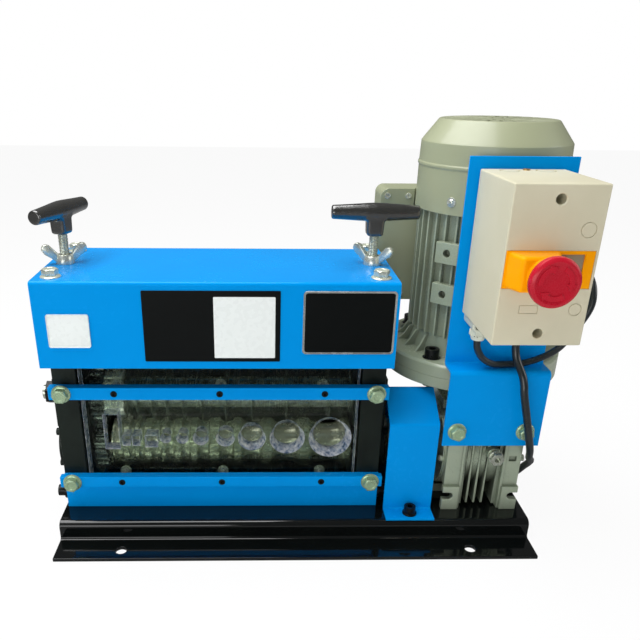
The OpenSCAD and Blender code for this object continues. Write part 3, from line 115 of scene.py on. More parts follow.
SHARP = 32.0
CURVED = 40.0
TURN_LIMIT = 0.9
FACING = 0.9
ROOM_SHARE = 0.42
BORE_GUARD = 0.5
FLAT_WEIGHT = 90
FILLET_SHARE = 0.5
SEAM = 0.000002
NODE_SEAM = 0.000005
FLAT = math.radians(0.6)
QUAD_LIMIT = math.radians(60)

# Directions and names of types

ORIGIN = (0, 0, 0)
RIGHT = (1, 0, 0)
FRONT = (0, -1, 0)
REAR = (0, 1, 0)
UP = (0, 0, 1)
DOWN = (0, 0, -1)
Pair = tuple[float, float]
Point = tuple[float, float, float]
Node = bpy.types.Node
Socket = bpy.types.NodeSocket
Tree = bpy.types.NodeTree
Piece = bpy.types.Object


# Finishes

WHITE = (1.0, 1.0, 1.0, 1.0)
COAT_ROUGHNESS = 0.08
PATCH_DETAIL = 4.0
PATCH_WEIGHT = 0.6
PATCH_STOPS = (0.35, 0.72)
# Reach and samples of the occlusion that paints shade into corners
PAINTED_SHADE_SAMPLES = 8
PAINTED_SHADE_REACH = 0.02
PIT_SCALE = 0.6
BUMP_STRENGTH = 0.6
GLOSS_NOISE = (0.15, 0.4)
SHEER_TINT = (0.9, 0.95, 0.9, 1.0)


def ink(red: int, green: int, blue: int) -> Point:
    """Turns a screen colour of 0 to 255 into linear light.

    Args:
        red: Red part.
        green: Green part.
        blue: Blue part.

    Returns:
        The three linear parts.
    """
    parts = (red / 255, green / 255, blue / 255)
    return tuple(c / 12.92 if c <= 0.04045 else ((c + 0.055) / 1.055) ** 2.4 for c in parts)


def feed(node: Node, sources: dict[str | int, Socket]) -> None:
    """Joins outputs to a node's inputs.

    Args:
        node: Node that is fed.
        sources: Output for each input, by the input's name or number.
    """
    for key, source in sources.items():
        node.id_data.links.new(source, node.inputs[key])


def add_node(tree: Tree, kind: str, values: dict[str | int, object] | None = None,
             sources: dict[str | int, Socket] | None = None, **settings: object) -> Node:
    """Adds a node, with its settings, its plain values and what feeds it.

    Args:
        tree: Node tree.
        kind: Type of the node.
        values: Value for each plain input, by its name or number.
        sources: Output for each fed input.
        **settings: The node's own settings.

    Returns:
        The node.
    """
    node = tree.nodes.new(kind)
    for name, setting in settings.items():
        setattr(node, name, setting)
    for key, value in (values or {}).items():
        node.inputs[key].default_value = value
    feed(node, sources or {})
    return node


class Grain(Enum):
    """Small relief of a surface: noise detail, noise roughness, and the share of pits among it."""

    PEEL = (1.0, 0.35, 0.0)
    CAST = (6.0, 0.65, 0.5)
    MOULDED = (5.0, 0.6, 0.15)
    MACHINED = (3.0, 0.5, 0.0)


@dataclass(frozen=True)
class Finish:
    """One finish of the machine, made as a node material on Object coordinates."""

    name: str
    slot: str
    colour: Point
    tint: Point
    rough: Pair
    metallic: float = 0.0
    coat: float = 0.0
    patches: float = 18.0
    grain: Grain = Grain.PEEL
    grain_scale: float = 400.0
    grain_depth: float = 0.00004
    stretch: Point = (1.0, 1.0, 1.0)
    clear: float = 0.0
    sheer: float = 0.0
    ior: float = 1.5
    shine: float = 0.5
    glint: Point = (1.0, 1.0, 1.0)
    # Share by which the colour is darkened in corners, as painted shade
    shaded: float = 0.0

    def material(self) -> bpy.types.Material:
        """Makes the material, or finds it where it is already made.

        Returns:
            The node material.
        """
        found = bpy.data.materials.get(self.name)
        if found:
            return found
        made = bpy.data.materials.new(self.name)
        made.use_nodes = True
        tree = made.node_tree
        shader = tree.nodes["Principled BSDF"]
        for key, value in (("Metallic", self.metallic), ("Coat Weight", self.coat),
                           ("Coat Roughness", COAT_ROUGHNESS), ("IOR", self.ior),
                           ("Specular IOR Level", self.shine), ("Specular Tint", (*self.glint, 1.0)),
                           ("Transmission Weight", self.clear)):
            shader.inputs[key].default_value = value
        coords = add_node(tree, "ShaderNodeTexCoord").outputs["Object"]
        slow = self._noise(tree, coords, self.patches, PATCH_DETAIL, PATCH_WEIGHT)
        ramp = add_node(tree, "ShaderNodeValToRGB", sources={"Fac": slow})
        for stop, place, colour in zip(ramp.color_ramp.elements, PATCH_STOPS, (self.colour, self.tint)):
            stop.position = place
            stop.color = (*colour, 1.0)
        colour = ramp.outputs["Color"]
        # Painted shade: the colour is darkened in corners and recesses
        if self.shaded > 0:
            colour = self._paint_corner_shade(tree, colour)
        feed(shader, {"Base Color": colour})
        self._relief(tree, coords, shader, slow)
        if self.sheer > 0:
            self._let_light_through(tree, shader)
        return made

    def _noise(self, tree: Tree, coords: Socket, scale: float, detail: float, weight: float) -> Socket:
        """Adds a noise on the piece's own coordinates.

        Args:
            tree: Node tree.
            coords: Coordinates.
            scale: Cells per metre.
            detail: Octaves.
            weight: Weight of the fine octaves.

        Returns:
            The noise's output.
        """
        noise = add_node(tree, "ShaderNodeTexNoise", {"Scale": scale, "Detail": detail, "Roughness": weight},
                         {"Vector": coords})
        return noise.outputs["Fac"]

    def _paint_corner_shade(self, tree: Tree, colour: Socket) -> Socket:
        """Paints shade into a casting's corners, darkening its colour where other faces stand close.

        Args:
            tree: Node tree.
            colour: Colour of the open faces.

        Returns:
            The colour with its painted corner shade.
        """
        corner = add_node(tree, "ShaderNodeAmbientOcclusion", {"Distance": PAINTED_SHADE_REACH}, only_local=True,
                          samples=PAINTED_SHADE_SAMPLES)
        dark = (*(c * (1 - self.shaded) for c in self.colour), 1.0)
        blend = add_node(tree, "ShaderNodeMix", {"A": dark}, {"Factor": corner.outputs["AO"], "B": colour},
                         data_type="RGBA")
        return blend.outputs["Result"]

    def _relief(self, tree: Tree, coords: Socket, shader: Node, slow: Socket) -> None:
        """Adds the grain, as bump and as a change of gloss.

        Args:
            tree: Node tree.
            coords: Coordinates.
            shader: Principled shader.
            slow: Slow noise, which also shifts the gloss.
        """
        detail, weight, pits = self.grain.value
        mapping = add_node(tree, "ShaderNodeMapping", {"Scale": self.stretch}, {"Vector": coords})
        stretched = mapping.outputs["Vector"]
        fine = self._noise(tree, stretched, self.grain_scale, detail, weight)
        height = fine
        if pits > 0:
            cells = add_node(tree, "ShaderNodeTexVoronoi", {"Scale": self.grain_scale * PIT_SCALE},
                             {"Vector": stretched})
            blend = add_node(tree, "ShaderNodeMix", {"Factor": pits}, {"A": fine, "B": cells.outputs["Distance"]})
            height = blend.outputs["Result"]
        bump = add_node(tree, "ShaderNodeBump", {"Strength": BUMP_STRENGTH, "Distance": self.grain_depth},
                        {"Height": height})
        both = add_node(tree, "ShaderNodeMath", sources={0: slow, 1: fine}, operation="MULTIPLY")
        gloss = add_node(tree, "ShaderNodeMapRange",
                         {"From Min": GLOSS_NOISE[0], "From Max": GLOSS_NOISE[1], "To Min": self.rough[0],
                          "To Max": self.rough[1]}, {"Value": both.outputs["Value"]})
        feed(shader, {"Normal": bump.outputs["Normal"], "Roughness": gloss.outputs["Result"]})

    def _let_light_through(self, tree: Tree, shader: Node) -> None:
        """Lets light and part of the view pass straight through a clear sheet.

        Args:
            tree: Node tree.
            shader: Principled shader.
        """
        path = add_node(tree, "ShaderNodeLightPath")
        through = add_node(tree, "ShaderNodeBsdfTransparent", {"Color": SHEER_TINT})
        share = add_node(tree, "ShaderNodeMath", {1: self.sheer}, {0: path.outputs["Is Shadow Ray"]},
                         operation="MAXIMUM")
        blend = add_node(tree, "ShaderNodeMixShader", sources={
            "Fac": share.outputs["Value"], 1: shader.outputs["BSDF"], 2: through.outputs["BSDF"]})
        feed(tree.nodes["Material Output"], {"Surface": blend.outputs["Shader"]})


BLUE = Finish("sky_blue_enamel", "blue_paint", ink(0, 140, 219), ink(0, 145, 224), (0.2, 0.28), coat=0.02,
              shine=0.18, glint=(0.1, 0.5, 1.0), patches=8, grain_scale=200, grain_depth=0.000006)
BLACK_GLOSS = Finish("black_gloss_enamel", "base_paint", ink(9, 12, 12), ink(13, 16, 15), (0.06, 0.12), coat=0.2,
                     shine=0.4, grain_scale=240, grain_depth=0.000004)
BLACK_PLATE = Finish("blackened_plate", "black_plate", ink(16, 24, 20), ink(28, 38, 32), (0.3, 0.45), metallic=0.3,
                     shine=0.3, grain=Grain.MACHINED, grain_scale=300, stretch=(1, 1, 7))
# Painted shade darkens this enamel in its corners (shaded)
MOTOR_GREY = Finish("motor_grey_enamel", "grey_paint", ink(152, 162, 138), ink(160, 170, 146), (0.22, 0.32),
                    coat=0.2, patches=8, grain=Grain.MOULDED, grain_scale=900, grain_depth=0.00002, shaded=0.6)
SHEET_GREY = Finish("sheet_grey_enamel", "grey_paint", ink(153, 158, 128), ink(157, 162, 132), (0.34, 0.42),
                    coat=0.12, patches=8, grain_scale=200, grain_depth=0.000006)
# Painted shade darkens this casting in its corners (shaded)
RAW_CAST = Finish("sand_cast_aluminium", "cast_aluminium", ink(182, 196, 172), ink(198, 210, 186), (0.26, 0.38),
                  metallic=0.6, patches=16, grain=Grain.MOULDED, grain_scale=900, grain_depth=0.00003, shaded=0.96)
FACED = Finish("faced_aluminium", "raw_aluminium", ink(176, 186, 168), ink(200, 206, 194), (0.26, 0.42),
               metallic=0.85, patches=40, grain=Grain.MACHINED, grain_scale=500, stretch=(1, 1, 14))
ZINC = Finish("greenish_zinc", "zinc_steel", ink(156, 184, 148), ink(176, 198, 164), (0.2, 0.3), metallic=0.5,
              patches=60, grain=Grain.MACHINED, grain_scale=900, grain_depth=0.00001)
PALE_ZINC = Finish("pale_zinc", "zinc_steel", ink(206, 210, 192), ink(220, 223, 206), (0.22, 0.34), metallic=0.45,
                   patches=60, grain=Grain.MACHINED, grain_scale=900, grain_depth=0.00001)
NICKEL = Finish("bright_nickel", "zinc_steel", ink(204, 208, 194), ink(222, 225, 212), (0.2, 0.32), metallic=0.6,
                patches=90, grain=Grain.MOULDED, grain_scale=600, grain_depth=0.00002)
TURNED = Finish("turned_steel", "bright_steel", ink(176, 182, 168), ink(204, 208, 194), (0.18, 0.34), metallic=0.8,
                patches=70, grain=Grain.MACHINED, grain_scale=40, grain_depth=0.00002, stretch=(60, 1, 1))
HONED = Finish("honed_blade_steel", "bright_steel", ink(180, 186, 172), ink(210, 214, 200), (0.12, 0.26),
               metallic=0.85, patches=50, grain=Grain.MACHINED, grain_scale=160, grain_depth=0.00002)
KNURLED = Finish("hardened_roller_steel", "dark_steel", ink(170, 176, 150), ink(196, 200, 176), (0.18, 0.32),
                 metallic=0.7, patches=60, grain=Grain.MACHINED, grain_scale=300, grain_depth=0.00004)
GEAR_STEEL = Finish("oiled_gear_steel", "dark_steel", ink(96, 102, 98), ink(128, 134, 128), (0.22, 0.4),
                    metallic=1.0, patches=60, grain=Grain.MACHINED, grain_scale=400, grain_depth=0.00004)
BLACK_OXIDE = Finish("black_oxide_screws", "black_steel", ink(20, 22, 22), ink(38, 40, 40), (0.26, 0.42),
                     metallic=0.7, patches=160, grain=Grain.MACHINED, grain_scale=700, grain_depth=0.00004)
SPRING = Finish("spring_wire", "spring_steel", ink(110, 114, 112), ink(140, 144, 140), (0.3, 0.45), metallic=0.9,
                patches=100, grain_scale=600)
BRONZE = Finish("worm_wheel_bronze", "bronze", ink(168, 128, 66), ink(196, 156, 92), (0.28, 0.4), metallic=0.9,
                patches=60, grain=Grain.MACHINED, grain_scale=300)
BRASS = Finish("brass_screw", "plated_brass", ink(160, 118, 60), ink(184, 142, 80), (0.24, 0.36), metallic=0.8,
               patches=90, grain_scale=500)
HANDLE = Finish("gloss_handle_plastic", "handle_plastic", ink(34, 34, 32), ink(40, 40, 37), (0.2, 0.26), coat=1.0,
                shine=1.0, grain=Grain.PEEL, grain_scale=300, grain_depth=0.00001)
BLACK_PLASTIC = Finish("black_moulded_plastic", "black_plastic", ink(24, 25, 26), ink(32, 33, 34), (0.36, 0.5),
                       grain=Grain.MOULDED, grain_scale=900, grain_depth=0.00004)
GREY_PLASTIC = Finish("warm_grey_plastic", "grey_plastic", ink(203, 198, 172), ink(208, 203, 178), (0.4, 0.52),
                      shine=0.35, grain=Grain.MOULDED, grain_scale=1400, grain_depth=0.00003)
SHELL_PLASTIC = Finish("pale_green_shell_plastic", "grey_plastic", ink(204, 208, 190), ink(212, 215, 198),
                       (0.4, 0.52), grain=Grain.MOULDED, grain_scale=1400, grain_depth=0.00003)
YELLOW = Finish("signal_yellow_plastic", "yellow_plastic", ink(251, 160, 0), ink(252, 166, 0), (0.3, 0.42),
                shine=0.25, glint=(1.0, 0.75, 0.2), grain=Grain.MOULDED, grain_scale=1200, grain_depth=0.00003)
CRIMSON = Finish("crimson_plastic", "red_plastic", ink(182, 14, 38), ink(192, 20, 44), (0.24, 0.36), coat=0.1,
                 shine=0.3, grain=Grain.MOULDED, grain_scale=1200, grain_depth=0.00002)
SMOKED = Finish("smoked_window", "black_plastic", ink(150, 144, 124), ink(156, 150, 130), (0.2, 0.3), coat=0.2,
                grain_scale=200, grain_depth=0.000006)
RUBBER = Finish("cord_jacket", "cord_rubber", ink(24, 30, 33), ink(34, 42, 46), (0.26, 0.4),
                coat=0.3, grain=Grain.MOULDED, grain_scale=1200, grain_depth=0.00005)
WHITE_PLATE = Finish("white_plate_enamel", "label_plate", ink(230, 236, 234), ink(234, 240, 238), (0.22, 0.34),
                     coat=0.2, patches=8, grain_scale=200, grain_depth=0.000006)
BLACK_FILM = Finish("black_plate_film", "label_plate", ink(5, 9, 9), ink(9, 13, 13), (0.36, 0.46), shine=0.12,
                    patches=8, grain_scale=200, grain_depth=0.000006)
SILVER_TRIM = Finish("silver_plate_trim", "label_plate", ink(190, 194, 192), ink(214, 217, 214), (0.18, 0.32),
                     metallic=0.9, patches=80, grain=Grain.MACHINED, grain_scale=500, stretch=(1, 1, 9))
ACRYLIC = Finish("clear_acrylic", "clear_panel", (0.93, 0.98, 0.94), (0.95, 0.99, 0.96), (0.0, 0.01), clear=1.0,
                 sheer=0.84, ior=1.49, grain_scale=60, grain_depth=0.000002)
# Funnel walls: the blue colour is a painted reflection and the white patches are painted highlights
ACRYLIC_CUT_PAINTED_REFLECTION = Finish("acrylic_cut_painted_reflection", "clear_panel", ink(44, 84, 130), (1.0, 1.0, 1.0), (0.02, 0.06),
                     clear=0.2, sheer=0.12, ior=1.6, shine=1.0, patches=190, grain_scale=60, grain_depth=0.000002)


# Modelling helpers


def at(x: float, y: float, z: float) -> Vector:
    """Gives a point written in millimetres in metres."""
    return Vector((x, y, z)) * MM


def only(*pieces: Piece) -> None:
    """Selects these pieces alone and makes the last one active."""
    bpy.ops.object.select_all(action="DESELECT")
    for piece in pieces:
        piece.select_set(True)
    bpy.context.view_layer.objects.active = pieces[-1]


@contextmanager
def editing(piece: Piece, mode: str = "FACE") -> Iterator[None]:
    """Opens a piece in edit mode for the length of a with block.

    Args:
        piece: Piece to edit.
        mode: Select mode, VERT, EDGE or FACE.
    """
    only(piece)
    bpy.ops.object.mode_set(mode="EDIT")
    bpy.ops.mesh.select_mode(type=mode)
    yield
    bpy.ops.object.mode_set(mode="OBJECT")


def mark_faces(piece: Piece, wanted: Callable[[Vector, Vector], bool]) -> None:
    """Leaves selected only the faces that pass a test.

    Args:
        piece: Piece in object mode.
        wanted: Test on a face's centre, in millimetres, and its normal.
    """
    mesh = piece.data
    mesh.vertices.foreach_set("select", [False] * len(mesh.vertices))
    mesh.edges.foreach_set("select", [False] * len(mesh.edges))
    for face in mesh.polygons:
        face.select = wanted(face.center / MM, face.normal)


def mark_vertices(piece: Piece, wanted: Callable[[Vector], bool]) -> None:
    """Leaves selected only the vertices that pass a test on their place in millimetres."""
    mesh = piece.data
    mesh.polygons.foreach_set("select", [False] * len(mesh.polygons))
    mesh.edges.foreach_set("select", [False] * len(mesh.edges))
    for vertex in mesh.vertices:
        vertex.select = wanted(vertex.co / MM)


def settle(piece: Piece) -> Piece:
    """Puts a piece's place into its mesh."""
    only(piece)
    bpy.ops.object.transform_apply(location=True, rotation=True, scale=True)
    return piece


def put(piece: Piece, place: Matrix) -> Piece:
    """Moves a piece's mesh by a matrix."""
    piece.data.transform(place)
    return piece


def finish_modifiers(piece: Piece) -> Piece:
    """Applies every modifier of a piece."""
    only(piece)
    for modifier in list(piece.modifiers):
        bpy.ops.object.modifier_apply(modifier=modifier.name)
    return piece


def smooth(piece: Piece, angle: float = SHARP) -> Piece:
    """Shades a piece smooth but for its edges above an angle in degrees."""
    only(piece)
    bpy.ops.object.shade_smooth_by_angle(angle=math.radians(angle))
    return piece


def rounded(piece: Piece, width: float, segments: int = 2, angle: float = SHARP) -> Piece:
    """Rounds the edges of a piece above an angle.

    Args:
        piece: Piece to round.
        width: Width of the rounding in millimetres.
        segments: Steps of the rounding.
        angle: Least angle of an edge in degrees.

    Returns:
        The same piece.
    """
    weigh_edges(piece, width, angle)
    bevel = piece.modifiers.new("rounding", "BEVEL")
    bevel.width = width * MM
    bevel.segments = segments
    bevel.limit_method = "WEIGHT"
    bevel.use_clamp_overlap = False
    bevel.loop_slide = False
    return finish_modifiers(piece)


def weigh_edges(piece: Piece, width: float, angle: float) -> None:
    """Weighs each sharp edge by how much of a rounding the faces beside it have room for.

    Args:
        piece: Piece to weigh.
        width: Full width of the rounding in millimetres.
        angle: Least angle of a rounded edge in degrees.
    """
    mesh = piece.data
    places = [vertex.co for vertex in mesh.vertices]
    sides = {}
    for face in mesh.polygons:
        for key in face.edge_keys:
            sides.setdefault(key, []).append(face.normal)
    meeting = [[] for _ in places]
    for a, b in mesh.edge_keys:
        meeting[a].append((a, b))
        meeting[b].append((a, b))
    least = math.cos(math.radians(angle))
    weights = []
    for key in mesh.edge_keys:
        normals = sides.get(key, [])
        if len(normals) != 2 or normals[0].dot(normals[1]) > least:
            weights.append(0.0)
            continue
        along = (places[key[1]] - places[key[0]]).normalized()
        spans = [places[b] - places[a] for corner in key for a, b in meeting[corner] if (a, b) != key]
        across = [(span - along * span.dot(along)).length for span in spans
                  if abs(span.dot(along)) < TURN_LIMIT * span.length]
        weights.append(min(1.0, ROOM_SHARE * min(across, default=1.0) / (width * MM)))
    layer = mesh.attributes.get("bevel_weight_edge") or mesh.attributes.new("bevel_weight_edge", "FLOAT", "EDGE")
    layer.data.foreach_set("value", weights)


def even_shade(piece: Piece) -> Piece:
    """Lets the large faces set the shading at rounded edges, so that flats look flat."""
    weigh = piece.modifiers.new("normals", "WEIGHTED_NORMAL")
    weigh.keep_sharp = True
    weigh.weight = FLAT_WEIGHT
    return finish_modifiers(piece)


def linked(name: str, data: bpy.types.ID) -> Piece:
    """Makes an object of its data and links it to the scene.

    Args:
        name: Name of the object.
        data: Mesh, curve, light or camera.

    Returns:
        The new object.
    """
    piece = bpy.data.objects.new(name, data)
    bpy.context.scene.collection.objects.link(piece)
    return piece


def slab(name: str, low: Point, high: Point) -> Piece:
    """Adds a cube primitive between two corners, to be shaped further.

    Args:
        name: Name of the piece.
        low: Lowest corner in millimetres.
        high: Highest corner in millimetres.

    Returns:
        The new piece.
    """
    a = at(*low)
    b = at(*high)
    bpy.ops.object.select_all(action="DESELECT")
    bpy.ops.mesh.primitive_cube_add(size=1, location=(a + b) / 2, scale=b - a)
    piece = bpy.context.object
    piece.name = name
    return settle(piece)


def rod(name: str, start: Point, end: Point, radius: float, sides: int = 32) -> Piece:
    """Adds a cylinder primitive between two points, to be shaped further.

    Args:
        name: Name of the piece.
        start: Middle of one end in millimetres.
        end: Middle of the other end.
        radius: Radius in millimetres.
        sides: Number of sides.

    Returns:
        The new piece.
    """
    a = at(*start)
    b = at(*end)
    turn = (b - a).to_track_quat("Z", "Y").to_euler()
    bpy.ops.object.select_all(action="DESELECT")
    bpy.ops.mesh.primitive_cylinder_add(vertices=sides, radius=radius * MM, depth=(b - a).length,
                                        location=(a + b) / 2, rotation=turn)
    piece = bpy.context.object
    piece.name = name
    return settle(piece)


def outline_piece(name: str, points: Iterable[Point], closed: bool, filled: bool = False) -> Piece:
    """Adds a line of points, open, closed or filled, from which a piece is extruded or spun.

    Args:
        name: Name of the piece.
        points: Points in millimetres.
        closed: True to join the last point to the first.
        filled: True for one face inside the line.

    Returns:
        The new piece.
    """
    places = [at(*point) for point in points]
    count = len(places)
    edges = [(i, (i + 1) % count) for i in range(count if closed else count - 1)]
    mesh = bpy.data.meshes.new(name)
    mesh.from_pydata(places, [] if filled else edges, [list(range(count))] if filled else [])
    return linked(name, mesh)


def mend(piece: Piece) -> Piece:
    """Merges doubles and turns every face outwards."""
    with editing(piece, "VERT"):
        bpy.ops.mesh.select_all(action="SELECT")
        bpy.ops.mesh.remove_doubles(threshold=SEAM)
        bpy.ops.mesh.normals_make_consistent(inside=False)
    return piece


def inset(piece: Piece, *steps: Pair) -> None:
    """Insets the selected faces, once for each pair of thickness and depth in millimetres."""
    with editing(piece):
        for thickness, depth in steps:
            bpy.ops.mesh.inset(thickness=thickness * MM, depth=depth * MM)


def scaled(piece: Piece, factor: Point, centre: Point = ORIGIN, mode: str = "FACE") -> None:
    """Scales the selected part of a piece.

    Args:
        piece: Piece to edit.
        factor: Factor along each axis.
        centre: Centre in millimetres.
        mode: Select mode, VERT, EDGE or FACE.
    """
    with editing(piece, mode):
        bpy.ops.transform.resize(value=factor, center_override=tuple(at(*centre)))


def turned(name: str, profile: Iterable[Pair], steps: int = 48, closed: bool = False) -> Piece:
    """Spins a profile about the Z axis.

    Args:
        name: Name of the piece.
        profile: Pairs of radius and height in millimetres.
        steps: Steps round the axis.
        closed: True where the profile is a closed line, as for a ring.

    Returns:
        The new piece, closed where the profile starts and ends on the axis or is closed.
    """
    piece = outline_piece(name, [(radius, 0.0, height) for radius, height in profile], closed)
    with editing(piece, "VERT"):
        bpy.ops.mesh.select_all(action="SELECT")
        bpy.ops.mesh.spin(steps=steps, angle=math.tau, center=(0, 0, 0), axis=(0, 0, 1))
    return mend(piece)


def extruded(name: str, points: Iterable[Point], along: Point) -> Piece:
    """Fills an outline and extrudes it.

    Args:
        name: Name of the piece.
        points: Outline in millimetres.
        along: Extrusion in millimetres.

    Returns:
        The new piece.
    """
    piece = outline_piece(name, points, True, filled=True)
    with editing(piece):
        bpy.ops.mesh.select_all(action="SELECT")
        bpy.ops.mesh.extrude_region_move(TRANSFORM_OT_translate={"value": at(*along)})
    return mend(piece)


def joined(name: str, pieces: list[Piece]) -> Piece:
    """Joins pieces to one under a name."""
    only(*pieces)
    if len(pieces) > 1:
        bpy.ops.object.join()
    piece = bpy.context.view_layer.objects.active
    piece.name = name
    return piece


def cut(piece: Piece, tool: Piece, operation: str = "DIFFERENCE") -> Piece:
    """Cuts or trims a piece with another, which is used up.

    Args:
        piece: Piece to work on.
        tool: Cutting piece.
        operation: DIFFERENCE, INTERSECT or UNION.

    Returns:
        The cut piece.
    """
    boolean = piece.modifiers.new("cut", "BOOLEAN")
    boolean.operation = operation
    boolean.object = tool
    boolean.solver = "EXACT"
    finish_modifiers(piece)
    bpy.data.objects.remove(tool, do_unlink=True)
    return piece


def melted(piece: Piece, voxel: float, rounds: int) -> Piece:
    """Fuses joined shapes into one skin with soft fillets.

    Args:
        piece: Joined shapes.
        voxel: Voxel size in millimetres.
        rounds: Smoothing rounds.

    Returns:
        The fused piece.
    """
    remesh = piece.modifiers.new("skin", "REMESH")
    remesh.mode = "VOXEL"
    remesh.voxel_size = voxel * MM
    soften = piece.modifiers.new("fillets", "SMOOTH")
    soften.factor = FILLET_SHARE
    soften.iterations = rounds
    finish_modifiers(piece)
    only(piece)
    bpy.ops.object.shade_smooth()
    return piece


def twin(piece: Piece, name: str, place: Matrix) -> Piece:
    """Copies a piece with its own mesh, moved by a matrix.

    Args:
        piece: Piece to copy.
        name: Name of the copy.
        place: Move of the copy's mesh.

    Returns:
        The copy.
    """
    return put(linked(name, piece.data.copy()), place)


def spread(piece: Piece, name: str, places: list[Matrix]) -> Piece:
    """Copies a model to several places, joins the copies and removes the model.

    Args:
        piece: Model at the origin.
        name: Name of the joined piece.
        places: One matrix for each copy.

    Returns:
        The joined copies.
    """
    copies = [twin(piece, name, place) for place in places]
    bpy.data.objects.remove(piece, do_unlink=True)
    return joined(name, copies)


def upright(place: Point, turn: float) -> Matrix:
    """Gives the matrix that stands a model at a place in millimetres, turned about Z in degrees."""
    return Matrix.Translation(at(*place)) @ Matrix.Rotation(math.radians(turn), 4, "Z")


def towards(axis: Point, place: Point, turn: float = 0.0) -> Matrix:
    """Gives the matrix that stands a model's Z axis along an axis at a place.

    Args:
        axis: Direction of the model's Z axis.
        place: Place in millimetres.
        turn: Turn about the model's own axis in degrees.

    Returns:
        The matrix.
    """
    stand = Vector(axis).to_track_quat("Z", "Y").to_matrix().to_4x4()
    return Matrix.Translation(at(*place)) @ stand @ Matrix.Rotation(math.radians(turn), 4, "Z")


class Workshop:
    """Gives pieces their finish, their body and the CAD nodes that they stand for."""

    def __init__(self, frame: dict) -> None:
        """Keeps the loaded frame."""
        self.frame = frame

    def dress(self, piece: Piece, finish: Finish, body: str = "", nodes: tuple[str, ...] = ()) -> None:
        """Gives a piece its finish, lets it ride on a body and hides the nodes that it stands for.

        Args:
            piece: Finished piece.
            finish: Its finish.
            body: Name of its body; by default that of the first node.
            nodes: CAD nodes that it replaces.
        """
        piece.data.materials.clear()
        piece.data.materials.append(finish.material())
        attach(piece, body or body_of(self.frame["nodes"][nodes[0]])[0])
        if nodes:
            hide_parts(*nodes)
        log.info("%s: %s, %d faces", piece.name, finish.name, len(piece.data.polygons))

    def coat(self, node: str, finish: Finish) -> None:
        """Gives a CAD node that stays as it is its finish.

        Args:
            node: Node's name.
            finish: Its finish.
        """
        piece = self.frame["nodes"][node]
        for slot in piece.material_slots:
            slot.link = "OBJECT"
            slot.material = finish.material()
        log.info("%s: %s, as built", node, finish.name)

    def coat_all(self, rows: tuple[tuple[str, Finish], ...]) -> None:
        """Gives several nodes their finish."""
        for node, finish in rows:
            self.coat(node, finish)

    def casting(self, node: str) -> Piece:
        """Copies a node's mesh and lays its flat faces out anew in well shaped quads.

        Args:
            node: Node's name.

        Returns:
            The copy.
        """
        copy = linked(node + "_form", self.frame["nodes"][node].data.copy())
        with editing(copy, "VERT"):
            bpy.ops.mesh.select_all(action="SELECT")
            bpy.ops.mesh.remove_doubles(threshold=NODE_SEAM)
            bpy.ops.mesh.dissolve_limited(angle_limit=FLAT)
            bpy.ops.mesh.quads_convert_to_tris(quad_method="BEAUTY", ngon_method="BEAUTY")
            bpy.ops.mesh.beautify_fill(angle_limit=FLAT)
            bpy.ops.mesh.tris_convert_to_quads(face_threshold=FLAT, shape_threshold=QUAD_LIMIT)
        return copy

    def refine(self, node: str, finish: Finish, width: float, segments: int = 2, angle: float = SHARP) -> None:
        """Stands a cleaned and rounded copy in a node's place.

        Args:
            node: Node's name.
            finish: Its finish.
            width: Rounding of its edges in millimetres; 0 for none.
            segments: Steps of the rounding.
            angle: Least angle of a rounded edge in degrees.
        """
        copy = self.casting(node)
        if width > 0:
            rounded(copy, width, segments, angle)
        smooth(copy, CURVED)
        even_shade(copy)
        self.dress(copy, finish, nodes=(node,))

    def refine_all(self, rows: tuple[tuple, ...]) -> None:
        """Refines several nodes; a row holds the node, its finish, its rounding and perhaps the steps."""
        for row in rows:
            self.refine(*row)


# Camera, light and floor


@dataclass(frozen=True)
class Lamp:
    """One soft lamp: its place and its two sides in metres, and its power in watts."""

    name: str
    place: Point
    size: Pair
    watts: float


